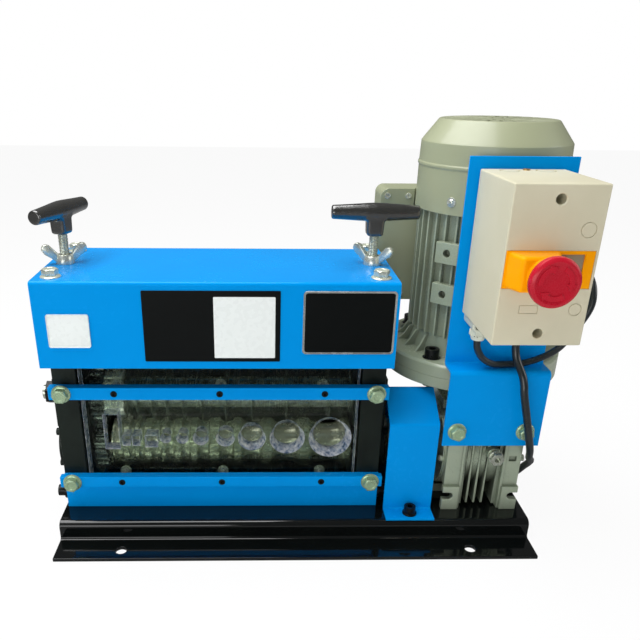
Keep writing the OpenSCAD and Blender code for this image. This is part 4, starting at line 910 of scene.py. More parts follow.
@dataclass
class Studio:
    """Camera at the photograph's angle, soft lamps, a pale floor and a white surround."""

    place: Point = (-40.6, -734.0, 471.8)
    pitch: float = 24.48
    yaw: float = 1.47
    roll: float = 0.62
    lens: float = 38.2
    sensor: float = 36.0
    shift: Pair = (0.07, 0.1027)
    near: float = 0.01
    lamps: tuple[Lamp, ...] = (
        Lamp("key_lamp", (-1.1, -1.1, 1.6), (1.1, 1.0), 2.0),
        Lamp("front_lamp", (-0.7, -1.6, 0.35), (1.2, 0.6), 7.5),
        Lamp("top_lamp", (-0.4, 0.05, 1.5), (1.3, 1.0), 27.0),
        Lamp("side_lamp", (1.7, -0.3, 0.9), (1.0, 1.0), 7.0),
    )
    aim: Point = (0.0, 0.0, 0.18)
    ambient: float = 0.34
    mirrored: float = 0.38
    through: float = 0.8
    floor_side: float = 9.0
    floor_rough: float = 0.8
    floor_tone: float = 0.9
    # Floor colour in reflections and seen through the clear panel, painted darker as shade
    floor_mirrored: float = 0.3
    floor_through: float = 0.06
    floor_glow: float = 0.93

    def build(self) -> None:
        """Makes the camera, the lamps, the world and the floor."""
        bpy.context.scene.view_settings.view_transform = "Standard"
        self._camera()
        for lamp in self.lamps:
            self._light(lamp)
        self._world()
        self._floor()

    def _camera(self) -> None:
        """Sets the camera as it stood."""
        pitch, yaw, roll = (math.radians(a) for a in (self.pitch, self.yaw, self.roll))
        ahead = Vector((math.sin(yaw) * math.cos(pitch), math.cos(yaw) * math.cos(pitch), -math.sin(pitch)))
        right = Vector((math.cos(yaw), -math.sin(yaw), 0))
        above = right.cross(ahead)
        side = math.cos(roll) * right + math.sin(roll) * above
        top = math.cos(roll) * above - math.sin(roll) * right
        lens = bpy.data.cameras.new("camera")
        lens.lens = self.lens
        lens.sensor_width = self.sensor
        lens.shift_x, lens.shift_y = self.shift
        lens.clip_start = self.near
        camera = linked("camera", lens)
        camera.matrix_world = Matrix.Translation(at(*self.place)) @ Matrix((side, top, -ahead)).transposed().to_4x4()
        bpy.context.scene.camera = camera

    def _light(self, lamp: Lamp) -> None:
        """Adds a soft lamp that looks at the middle of the machine."""
        light = bpy.data.lights.new(lamp.name, "AREA")
        light.shape = "RECTANGLE"
        light.size, light.size_y = lamp.size
        light.energy = lamp.watts
        holder = linked(lamp.name, light)
        holder.location = lamp.place
        holder.rotation_euler = (Vector(self.aim) - Vector(lamp.place)).to_track_quat("-Z", "Y").to_euler()

    def _world(self) -> None:
        """Makes the surround white to the eye, softer as a light and dim where gloss mirrors it."""
        world = bpy.data.worlds.new("surround")
        world.use_nodes = True
        bpy.context.scene.world = world
        tree = world.node_tree
        path = add_node(tree, "ShaderNodeLightPath")
        strength = self._share(path.outputs["Is Camera Ray"], self.ambient, 1.0)
        for ray, share in (("Is Glossy Ray", self.mirrored), ("Is Transmission Ray", self.through)):
            switched = self._share(path.outputs[ray], 1.0, share)
            product = add_node(tree, "ShaderNodeMath", sources={0: strength, 1: switched}, operation="MULTIPLY")
            strength = product.outputs["Value"]
        background = tree.nodes["Background"]
        background.inputs["Color"].default_value = WHITE
        feed(background, {"Strength": strength})

    def _share(self, switch: Socket, off: float, on: float) -> Socket:
        """Adds a value that differs for rays of one kind.

        Args:
            switch: Ray output, 1 for rays of that kind.
            off: Value for other rays.
            on: Value for rays of that kind.

        Returns:
            The value's output.
        """
        share = add_node(switch.id_data, "ShaderNodeMapRange", {"To Min": off, "To Max": on}, {"Value": switch})
        return share.outputs["Result"]

    def _floor(self) -> None:
        """Lays a pale floor that keeps the machine's shadow; its colour is painted darker in reflections and nearly
        black where seen through the clear panel, as painted shade.
        """
        bpy.ops.object.select_all(action="DESELECT")
        bpy.ops.mesh.primitive_plane_add(size=self.floor_side, location=(0, 0, 0))
        floor = bpy.context.object
        floor.name = "studio_floor"
        paper = bpy.data.materials.new("floor_paper")
        paper.use_nodes = True
        tree = paper.node_tree
        shader = tree.nodes["Principled BSDF"]
        shader.inputs["Roughness"].default_value = self.floor_rough
        glow = add_node(tree, "ShaderNodeEmission", {"Strength": 1.0})
        path = add_node(tree, "ShaderNodeLightPath")
        # Painted shade: the floor is darker in reflections and nearly black through the clear panel
        bare = self._share(path.outputs["Is Glossy Ray"], self.floor_tone, self.floor_mirrored)
        tone = add_node(tree, "ShaderNodeMapRange", {"To Max": self.floor_through},
                        {"Value": path.outputs["Is Transmission Ray"], "To Min": bare})
        seen = self._share(path.outputs["Is Camera Ray"], 0.0, self.floor_glow)
        feed(shader, {"Base Color": tone.outputs["Result"]})
        blend = add_node(tree, "ShaderNodeMixShader", sources={
            "Fac": seen, 1: shader.outputs["BSDF"], 2: glow.outputs["Emission"]})
        feed(tree.nodes["Material Output"], {"Surface": blend.outputs["Shader"]})
        floor.data.materials.append(paper)


# Cords


def curve_through(points: list[Vector], steps: int) -> list[Vector]:
    """Runs a smooth line through given points.

    Args:
        points: Points in millimetres.
        steps: Steps from each point to the next.

    Returns:
        The points of the line.
    """
    last = len(points) - 1
    line = []
    for i in range(last):
        a, b = points[max(i - 1, 0)], points[i]
        c, d = points[i + 1], points[min(i + 2, last)]
        for k in range(steps):
            t = k / steps
            line.append(0.5 * (2 * b + (c - a) * t + (2 * a - 5 * b + 4 * c - d) * t * t
                               + (3 * b - a - 3 * c + d) * t ** 3))
    line.append(points[last])
    return line


@dataclass
class Cords:
    """Supply cord with its coil and plug, and the short motor lead; the routes are those of the solids."""

    coil_r: float = 44.0
    coil_x: float = -150.0
    coil_near: float = BASE_HALF + 62
    coil_lift: float = 0.1
    turns: int = 3
    coil_steps: int = 30
    gland_y: float = -89.0
    lead_gland_x: float = 181.5
    supply_gland_x: float = 222.0
    terminal_x: float = 296.0
    terminal_z: float = 292.0
    steps: int = 8
    lead_steps: int = 6
    strap_half: Pair = (8.0, 10.2)
    strap_z: Pair = (0.4, 20.2)
    strap_angle: float = 60.0

    def build(self, shop: Workshop) -> None:
        """Makes the two cords, the plug and the tie."""
        left = Vector((self.lead_gland_x, self.gland_y, BOX_Z))
        lead = [left + Vector(p) for p in ((0, 0, -8), (0, 0, -25), (1.7, 0.3, -34.6), (8.2, 1.2, -44.8),
                                           (18.4, 2.6, -51.3), (30, 4, -53), (58, 5, -51), (86, 5, -37),
                                           (103, 5, -12))]
        x, z = self.terminal_x, self.terminal_z
        lead += [Vector(p) for p in ((x - 2, -83.5, z - 30), (x, -79.1, z - 14.5), (x, -68.5, z - 3.9), (x, -54, z),
                                     (x, -38, z), (x, -24, z), (x, -7, z))]
        self._lay(shop, "motor_lead_jacket", lead, [], LEAD_R, ("motor_lead",))
        shop.refine("plug", BLACK_PLASTIC, 0.8, 3)
        route = [Vector(p) for p in self._supply()]
        near = self.coil_near
        tail = [Vector(p) for p in ((self.coil_x, near - 4, 12.1), (self.coil_x - 29, near - 4.6, 9.7),
                                    (self.coil_x - 50, near - 3.6, 6.6), (self.coil_x - 72, near, 4.8),
                                    (self.coil_x - 108, near + 12, 10))]
        tie = self._tie(shop)
        self._lay(shop, "supply_cord_jacket", route, tail, CORD_R, ("supply_cord", "cord_coil"))

    def _supply(self) -> list[Point]:
        """Gives the supply cord's points from its gland to the coil, in millimetres."""
        x, y, z, lying = self.supply_gland_x, self.gland_y, BOX_Z, CORD_R + self.coil_lift
        return [(x, y, z - 8), (x, y, z - 26), (x + 0.5, y - 1.1, z - 36), (x + 2, y - 4.2, z - 44.5),
                (x + 4.5, y - 9.5, z - 52), (x + 7, y - 14.7, z - 59.5), (x + 8.5, y - 18, z - 68),
                (x + 9.6, FEET_Y - 16, z - 78), (x + 16, FEET_Y - 19, z - 106), (x + 21, FEET_Y - 19.5, z - 126),
                (x + 27, FEET_Y - 14, z - 144), (x + 32, FEET_Y - 4, z - 158), (x + 41.5, FEET_Y + 12, z - 172),
                (x + 45, FEET_Y + 32, z - 190),
                (GEAR_X + 60, FEET_Y + 58, 39), (GEAR_X + 60, FEET_Y + 82, 31),
                (GEAR_X + 54, WORM_Y + 34, 29.5), (GEAR_X + 30, BASE_HALF - 26, 29.4),
                (GEAR_X - 10, BASE_HALF + 2, 29), (GEAR_X - 50, BASE_HALF + 40, 12),
                (GEAR_X - 110, BASE_HALF + 62, lying), (30, BASE_HALF + 70, lying), (-40, BASE_HALF + 80, lying),
                (-90, BASE_HALF + 67.5, lying), (-116, BASE_HALF + 61.1, lying), (-150, BASE_HALF + 58, lying)]

    def _coil(self) -> list[Vector]:
        """Winds the spare cord: three strands that turn about each other as they go round."""
        line = []
        half = math.sqrt(2) * CORD_R
        quarter = math.radians(90)
        for k in range(1, self.turns * self.coil_steps):
            t = k / self.coil_steps
            swing = -quarter / 2 - quarter * t
            part = t - math.floor(t)
            middle = CORD_R + self.coil_lift + half * math.sin(quarter / 2 + quarter * part)
            radius = self.coil_r + half * math.cos(swing)
            a = -quarter - math.tau * t
            line.append(Vector((self.coil_x + radius * math.cos(a),
                                self.coil_near + self.coil_r + radius * math.sin(a),
                                middle + half * math.sin(swing))))
        return line

    def _lay(self, shop: Workshop, name: str, route: list[Vector], tail: list[Vector], radius: float,
             nodes: tuple[str, ...]) -> None:
        """Sweeps a jacket along its route, with the coil and the tail where it has them.

        Args:
            shop: Workshop.
            name: Name of the piece.
            route: Points from the exit, in millimetres.
            tail: Points after the coil, or none.
            radius: Radius in millimetres.
            nodes: Nodes that it replaces.
        """
        line = curve_through(route, self.steps if tail else self.lead_steps)
        if tail:
            line = line + self._coil() + curve_through(tail, self.steps)
        places = [p * MM for p in line]
        wire = bpy.data.curves.new(name, "CURVE")
        wire.dimensions = "3D"
        wire.bevel_depth = radius * MM
        wire.bevel_resolution = 3
        wire.use_fill_caps = True
        spline = wire.splines.new("POLY")
        spline.points.add(len(places) - 1)
        for point, place in zip(spline.points, places):
            point.co = (*place, 1)
        only(linked(name, wire))
        bpy.ops.object.convert(target="MESH")
        jacket = bpy.context.object
        smooth(jacket, 50)
        shop.dress(jacket, RUBBER, "frame", nodes)

    def _tie(self, shop: Workshop) -> Piece:
        """Makes the strap that holds the coil together.

        Args:
            shop: Workshop.

        Returns:
            The strap.
        """
        wide, deep = self.strap_half
        low, high = self.strap_z
        tie = slab("coil_tie", (-wide, -deep, low), (wide, deep, high))
        mark_faces(tie, lambda c, n: abs(n.x) > FACING)
        inset(tie, (1.6, -1.2))
        rounded(tie, 1.2)
        smooth(tie)
        place = Vector((self.coil_x, self.coil_near + self.coil_r, 0)) * MM
        turn = Matrix.Rotation(math.radians(self.strap_angle) - math.pi / 2, 4, "Z")
        put(tie, Matrix.Translation(place) @ turn @ Matrix.Translation(Vector((0, self.coil_r * MM, 0))))
        shop.dress(tie, BLACK_PLASTIC, "frame")
        return tie


# Cutting head


@dataclass
class HeadFrame:
    """Base, side plates, top plate and the parts that tie them."""

    roundings: tuple[tuple[str, Finish, float], ...] = (
        ("base_channel", BLACK_GLOSS, 0.5),
        ("side_plate_left", BLACK_PLATE, 0.8),
        ("side_plate_right", BLACK_PLATE, 0.8),
        ("head_top_plate", BLACK_PLATE, 0.8),
        ("rear_panel", BLACK_PLATE, 0.4),
        ("tie_rods", TURNED, 0.5),
        ("bearing_caps", BLACK_PLATE, 0.7),
        ("bearing_blocks", BLACK_PLATE, 0.7),
        ("socket_screws", BLACK_OXIDE, 0.35),
        ("small_screws", NICKEL, 0.2),
    )
    head_profile: tuple[Pair, ...] = ((0, -2), (2.4, -2), (3.5, -0.4), (3.5, 0.5), (3.1, 0.9), (1.7, 0.9),
                                      (1.5, -0.9), (0, -0.9))

    def build(self, shop: Workshop) -> None:
        """Refines the frame's nodes and adds the screw heads of the front bars."""
        shop.refine_all(self.roundings)
        shop.dress(self._bar_screws(), BLACK_OXIDE, "frame")

    def _bar_screws(self) -> Piece:
        """Models a flat socket head and sets it at each screw in the two front bars.

        Returns:
            The heads.
        """
        head = turned("head", self.head_profile, 32)
        places = [towards(FRONT, (HEAD_X + x, BAR_FRONT, z)) for x in BAR_SCREW_X for z in BAR_Z]
        return smooth(spread(head, "bar_screw_heads", places), 30)


@dataclass(frozen=True)
class Plate:
    """One bare plate on the cover: its corners along X and Z, and how it is made."""

    name: str
    low: Pair
    high: Pair
    corner: float
    thick: float
    finish: Finish
    proud: float = 0.0
    rim: Pair | None = None
    nodes: tuple[str, ...] = ()


@dataclass
class Cover:
    """Blue cover, front bars, lower panel and the bare plates on the cover."""

    roundings: tuple[tuple[str, Finish, float], ...] = (
        ("top_cover", BLUE, 0.5),
        ("upper_front_bar", BLUE, 0.7),
        ("lower_front_bar", BLUE, 0.7),
        ("lower_front_panel", BLUE, 0.4),
    )
    plates: tuple[Plate, ...] = (
        Plate("white_plate", (-247, 227), (-206, 261), 2.0, 0.6, WHITE_PLATE, nodes=("label_plates",)),
        Plate("black_plate", (-154, 212), (-20, 285), 1.2, 0.6, BLACK_FILM),
        Plate("black_plate_field", (-85, 216), (-25, 279), 0.8, 0.3, WHITE_PLATE, proud=0.6),
        Plate("framed_plate_trim", (2, 220), (93, 285), 4.0, 0.7, SILVER_TRIM, rim=(1.6, -0.25)),
        Plate("framed_plate_face", (4, 222), (91, 283), 2.6, 0.2, BLACK_FILM, proud=0.35),
    )
    corner_steps: int = 5
    edge: float = 0.12

    def build(self, shop: Workshop) -> None:
        """Refines the blue sheets and lays the plates."""
        shop.refine_all(self.roundings)
        for plate in self.plates:
            shop.dress(self._plate(plate), plate.finish, "frame", plate.nodes)

    def _plate(self, plan: Plate) -> Piece:
        """Makes a thin plate with rounded corners on the cover's front.

        Args:
            plan: Plate's description.

        Returns:
            The plate.
        """
        back = COVER_FRONT - plan.proud
        plate = slab(plan.name, (plan.low[0], back - plan.thick, plan.low[1]), (plan.high[0], back, plan.high[1]))
        places = [vertex.co for vertex in plate.data.vertices]
        chosen = [edge for edge in plate.data.edges
                  if abs((places[edge.vertices[0]] - places[edge.vertices[1]]).normalized().y) > FACING]
        mark_vertices(plate, lambda place: False)
        for edge in chosen:
            edge.select = True
        with editing(plate, "EDGE"):
            bpy.ops.mesh.bevel(offset=plan.corner * MM, segments=self.corner_steps, affect="EDGES")
        smooth(rounded(plate, self.edge, 1))
        if plan.rim:
            mark_faces(plate, lambda c, n: n.y < -FACING)
            inset(plate, plan.rim)
        return plate


@dataclass
class GuidePanel:
    """Clear guide panel."""

    edge: float = 0.4
    upright: float = 0.99

    def build(self, shop: Workshop) -> None:
        """Refines the clear panel and gives its cut walls a painted blue reflection and painted white highlights."""
        shop.refine("guide_panel", ACRYLIC, self.edge, 2, CURVED)
        panel = bpy.data.objects["guide_panel_form"]
        panel.data.materials.append(ACRYLIC_CUT_PAINTED_REFLECTION.material())
        for face in panel.data.polygons:
            face.material_index = int(abs(face.normal.y) < self.upright)


@dataclass
class Fasteners:
    """Hexagon flange bolts."""

    seat_r: float = 10.0
    across: float = 14.0
    height: float = 8.6
    rise: float = 0.01
    steps: int = 48
    dish: tuple[Pair, ...] = ((2.0, 0.0), (0.6, -0.5))
    shank: tuple[Pair, ...] = ((0, -12), (3.4, -12), (4, -11.4), (4, 0.1), (0, 0.1))

    def build(self, shop: Workshop) -> None:
        """Makes one bolt head and sets it at every place."""
        bolts = smooth(spread(self._bolt(), "flange_bolt_heads", self._places()))
        shop.dress(bolts, ZINC, "frame", ("hex_flange_bolts",))
        top = smooth(spread(self._bolt(), "cover_bolt_heads", self._cover_places()))
        shop.dress(top, PALE_ZINC, "frame")

    def _bolt(self) -> Piece:
        """Models a head with its flange, chamfered hexagon and shank, seat on the ground.

        Returns:
            The bolt.
        """
        flat, seat, top = self.across / 2, self.seat_r, self.height + self.rise
        corner = flat / math.cos(math.radians(30))
        head = rod("bolt_head", (0, 0, 1.0), (0, 0, self.height), corner, 6)
        dome = turned("bolt_chamfer", [(0, 0.5), (corner + 0.2, 0.5), (corner + 0.2, self.height - 1.3),
                                       (flat - 0.7, top), (0, top)], self.steps)
        cut(head, dome, "INTERSECT")
        mark_faces(head, lambda c, n: n.z > 0.99)
        inset(head, *self.dish)
        rounded(head, 0.25, 2, 25)
        flange = turned("bolt_flange", [(0, 0), (seat, 0), (seat, 0.8), (seat - 0.4, 1.3), (flat + 0.9, 2.1),
                                        (0, 2.2)], self.steps)
        return joined("bolt", [head, flange, turned("bolt_shank", self.shank, 32)])

    def _places(self) -> list[Matrix]:
        """Lists the bolts' places on bars, rear panel and bracket."""
        pair = (-1, 1)
        places = [towards(FRONT, (HEAD_X + x, BAR_FRONT, z), 17 + 9 * i)
                  for i, (x, z) in enumerate((side * BAR_BOLT_X, z) for side in pair for z in BAR_Z)]
        places += [towards(REAR, (HEAD_X + side * BAR_BOLT_X, REAR_FACE, z), 20) for side in pair for z in REAR_BOLT_Z]
        places += [towards(FRONT, (GEAR_X + side * BRACKET_BOLT_X, BRACKET_FACE, BRACKET_BOLT_Z), 12) for side in pair]
        return places

    def _cover_places(self) -> list[Matrix]:
        """Lists the bolts' places on the cover."""
        return [towards(UP, (HEAD_X + x, AXIS_Y + y, COVER_TOP), 11 + x / 7)
                for x in (-COVER_BOLT_X, COVER_BOLT_X) for y in (-COVER_BOLT_Y, COVER_BOLT_Y)]


@dataclass
class BladeRoll:
    """Upper shaft with blades, spacers, collar and gear."""

    roundings: tuple[tuple[str, Finish, float], ...] = (
        ("slitting_blades", HONED, 0),
        ("upper_gear", GEAR_STEEL, 0.35),
        ("blade_shaft", TURNED, 0.6),
        ("blade_shaft_nuts", BLACK_OXIDE, 0.5),
        ("blade_spacers", TURNED, 0.3),
    )
    collar_x: Pair = (-130.5, -108.2)
    collar_edge: float = 25.2
    collar_r: float = 26.4
    collar_bore: float = 24.5
    knurls: int = 132
    knurl_depth: float = 0.5

    def build(self, shop: Workshop) -> None:
        """Refines the blades and makes the knurled collar."""
        shop.refine_all(self.roundings)
        left, right = self.collar_x
        profile = [(left, self.collar_edge), (left + 0.8, self.collar_r), (right - 0.8, self.collar_r),
                   (right, self.collar_edge)]
        collar = knurled_sleeve("knurled_collar", profile, self.collar_bore, self.knurls, self.knurl_depth, BLADE_Z)
        shop.dress(collar, TURNED, "blade_roll")


def knurled_sleeve(name: str, profile: list[Pair], inner: float, knurls: int, depth: float, height: float) -> Piece:
    """Spins a ring about the head's shaft line and presses straight knurls into it.

    Args:
        name: Name of the sleeve.
        profile: Pairs of place along X from the head's middle and radius, from left to right.
        inner: Radius of the bore.
        knurls: Number of knurls.
        depth: Depth of a knurl in millimetres.
        height: Height of the shaft line.

    Returns:
        The sleeve.
    """
    ring = [(inner, profile[0][0])] + [(radius, x) for x, radius in profile] + [(inner, profile[-1][0])]
    sleeve = turned(name, ring, knurls * 2, closed=True)
    step = math.tau / (knurls * 2)
    mark_vertices(sleeve, lambda p: math.hypot(p.x, p.y) > inner + BORE_GUARD
                  and round(math.atan2(p.y, p.x) / step) % 2 == 1)
    factor = 1 - depth / profile[1][1]
    scaled(sleeve, (factor, factor, 1), mode="VERT")
    put(sleeve, towards(RIGHT, (HEAD_X, AXIS_Y, height)))
    return smooth(sleeve, 20)


@dataclass
class FeedRoller:
    """Grooved and knurled feed roller with its gear; a groove is its middle, half width and depth."""

    radius: float = 24.0
    proud: float = 0.25
    bore: float = 14.0
    knurls: int = 84
    knurl_depth: float = 0.7
    ends: Pair = (-125.9, 145.9)
    chamfer: float = 0.6
    narrow: tuple[Point, ...] = ((-118.5, 5.6, 2.5), (-103.5, 3.5, 2.8), (-93.0, 3.5, 2.8), (-76.3, 6.1, 2.8))
    funnels: tuple[Pair, ...] = ((-60.7, 6.2), (-42.5, 6.9), (-22.4, 8.8), (4.2, 10.4), (33.1, 15.3), (71.8, 19.3),
                                 (118.9, 23.5))
    width_share: float = 0.86
    depth_share: float = 0.24
    depth_from: float = 2.0
    depth_limit: float = 6.5
    steps: int = 3

    def build(self, shop: Workshop) -> None:
        """Makes the knurled barrel and refines the gear."""
        shop.refine("lower_gear", GEAR_STEEL, 0.35)
        shop.dress(smooth(shop.casting("feed_roller")), KNURLED, nodes=("feed_roller",))
        barrel = knurled_sleeve("knurled_barrel", self._profile(), self.bore, self.knurls, self.knurl_depth, ROLLER_Z)
        shop.dress(barrel, KNURLED, "feed_roll")

    def _profile(self) -> list[Pair]:
        """Gives the barrel's profile, a little proud of the solid's, with its grooves.

        Returns:
            Pairs of place along X and radius.
        """
        grooves = list(self.narrow)
        grooves += [(x, r * self.width_share, min(self.depth_limit, self.depth_from + r * self.depth_share))
                    for x, r in self.funnels]
        left, right = self.ends
        edge, face = self.radius - self.chamfer, self.radius + self.proud
        profile = [(left, edge), (left + self.chamfer, face)]
        for x, half, depth in grooves:
            for i in range(2 * self.steps + 1):
                t = i / self.steps - 1
                profile.append((x + half * t, face - depth * math.sqrt(max(0.0, 1 - t * t))))
        return profile + [(right - self.chamfer, face), (right, edge)]


@dataclass
class PressureScrew:
    """One threaded pressure screw with its T-handle and its wing nut."""

    side: int
    turn: float
    wing_turn: float
    name: str
    body: str
    wing_body: str
    height: float = 347.0
    half: float = 45.0
    hub: tuple[Point, Point] = ((-11.5, -8.6, -8), (11.5, 8.6, 2))
    neck: tuple[Point, Point] = ((-9.4, -8.4, -23.5), (9.4, 8.4, -4))
    neck_taper: Point = (0.9, 0.95, 1)
    skin: tuple[float, int] = (0.75, 9)
    stud_z: Pair = (170.1, 325.0)
    stud_r: float = 4.95
    chamfer: float = 1.2
    thread_z: float = 296.0
    pitch: float = 1.5
    thread_depth: float = 0.85
    nut: tuple[Pair, ...] = ((5.2, 0.3), (5.5, 0), (9.4, 0), (9.6, 0.8), (8.3, 8.6), (7.2, 9.6), (5.5, 9.6),
                             (5.2, 9.3))
    wing: tuple[Pair, ...] = ((5.6, 1.2), (9, 2), (14, 6.2), (20, 10.2), (22.8, 14.8), (22.2, 18.8), (19, 20.6),
                              (14.8, 19.6), (10.4, 14.5), (5.6, 9))
    wing_half: float = 2.6

    def build(self, shop: Workshop) -> None:
        """Makes handle, thread and wing nut."""
        x = HEAD_X + self.side * SCREW_X
        handle = put(self._handle(), upright((x, AXIS_Y, self.height), self.turn))
        shop.dress(handle, HANDLE, self.body, ("t_screw_" + self.name,))
        thread = put(self._thread(), Matrix.Translation(at(x, AXIS_Y, 0)))
        shop.dress(thread, NICKEL, self.body)
        wing = put(self._wing(), upright((x, AXIS_Y, COVER_TOP), self.wing_turn))
        shop.dress(wing, NICKEL, self.wing_body, ("wing_nut_" + self.name,))

    def _handle(self) -> Piece:
        """Models the T-handle: a tapered bar with flat ends on a squared hub, fused with fillets.

        Returns:
            The handle, its bar along X at the origin.
        """
        half = self.half
        side = [(0, -half), (6.3, -half), (7.1, 1 - half), (7.5, 10 - half), (8.4, -20), (9.2, -8)]
        bar = turned("bar", side + [(9.5, 0)] + [(radius, -place) for radius, place in reversed(side)], 32)
        put(bar, towards(RIGHT, ORIGIN))
        hub = slab("hub", *self.hub)
        neck = slab("neck", *self.neck)
        mark_faces(neck, lambda c, n: n.z < -FACING)
        scaled(neck, self.neck_taper, (0, 0, self.neck[0][2]))
        rounded(neck, 2.6, 3)
        rounded(hub, 2.4, 3)
        return melted(joined("t_handle_" + self.name, [bar, hub, neck]), *self.skin)

    def _thread(self) -> Piece:
        """Models the stud with its thread, from the block to the handle's hub.

        Returns:
            The stud along Z.
        """
        low, high = self.stud_z
        radius, z = self.stud_r, self.thread_z
        profile = [(0.0, low), (radius - self.chamfer, low), (radius, low + self.chamfer), (radius, z)]
        while z < high - self.pitch:
            profile += [(radius - self.thread_depth, z + self.pitch * 0.5), (radius, z + self.pitch)]
            z += self.pitch
        profile += [(radius, high), (0.0, high)]
        return smooth(turned("threaded_stud_" + self.name, profile, 32), 25)

    def _wing(self) -> Piece:
        """Models the cast wing nut.

        Returns:
            The nut, seat at the origin.
        """
        parts = [turned("wing_body", self.nut, 40, closed=True)]
        for turn in (0, 180):
            wing = extruded("wing", [(x, -self.wing_half, z) for x, z in self.wing], (0, 2 * self.wing_half, 0))
            rounded(wing, 1.6, 3, CURVED)
            parts.append(put(wing, Matrix.Rotation(math.radians(turn), 4, "Z")))
        return smooth(joined("wing_nut_cast_" + self.name, parts), CURVED)


# Drive


@dataclass
class Drive:
    """Coupling with its guard, and the worm gearbox."""

    roundings: tuple[tuple[str, Finish, float], ...] = (
        ("coupling", FACED, 0.5),
        ("coupling_guard", BLUE, 0.4),
        ("gearbox_housing", RAW_CAST, 0.7),
        ("gearbox_side_covers", RAW_CAST, 0.6),
        ("gearbox_plugs", TURNED, 0.3),
        ("gearbox_flange", MOTOR_GREY, 0.7),
    )
    as_built: tuple[tuple[str, Finish], ...] = (
        ("worm_shaft", TURNED),
        ("worm_wheel", BRONZE),
        ("output_shaft", TURNED),
        ("shaft_bearings", TURNED),
        ("blade_shaft_bearings", TURNED),
        ("block_springs", SPRING),
    )

    def build(self, shop: Workshop) -> None:
        """Refines the drive's nodes."""
        shop.refine_all(self.roundings)
        shop.coat_all(self.as_built)


@dataclass
class Motor:
    """Finned motor with its end shield, fan cover, capacitor box and terminal box."""

    roundings: tuple[tuple, ...] = (
        ("motor_end_shield", MOTOR_GREY, 0.5),
        ("motor_housing", MOTOR_GREY, 0.45),
        ("fan_cover", SHEET_GREY, 0.35),
        ("capacitor_box", SHEET_GREY, 0.5),
        ("terminal_box", MOTOR_GREY, 1.2, 3),
        ("flange_bolts", BLACK_OXIDE, 0.4),
    )
    as_built: tuple[tuple[str, Finish], ...] = (
        ("motor_rotor", GEAR_STEEL),
        ("cooling_fan", BLACK_PLASTIC),
    )

    def build(self, shop: Workshop) -> None:
        """Refines the motor's nodes."""
        shop.refine_all(self.roundings)
        shop.coat_all(self.as_built)


# Starter switch


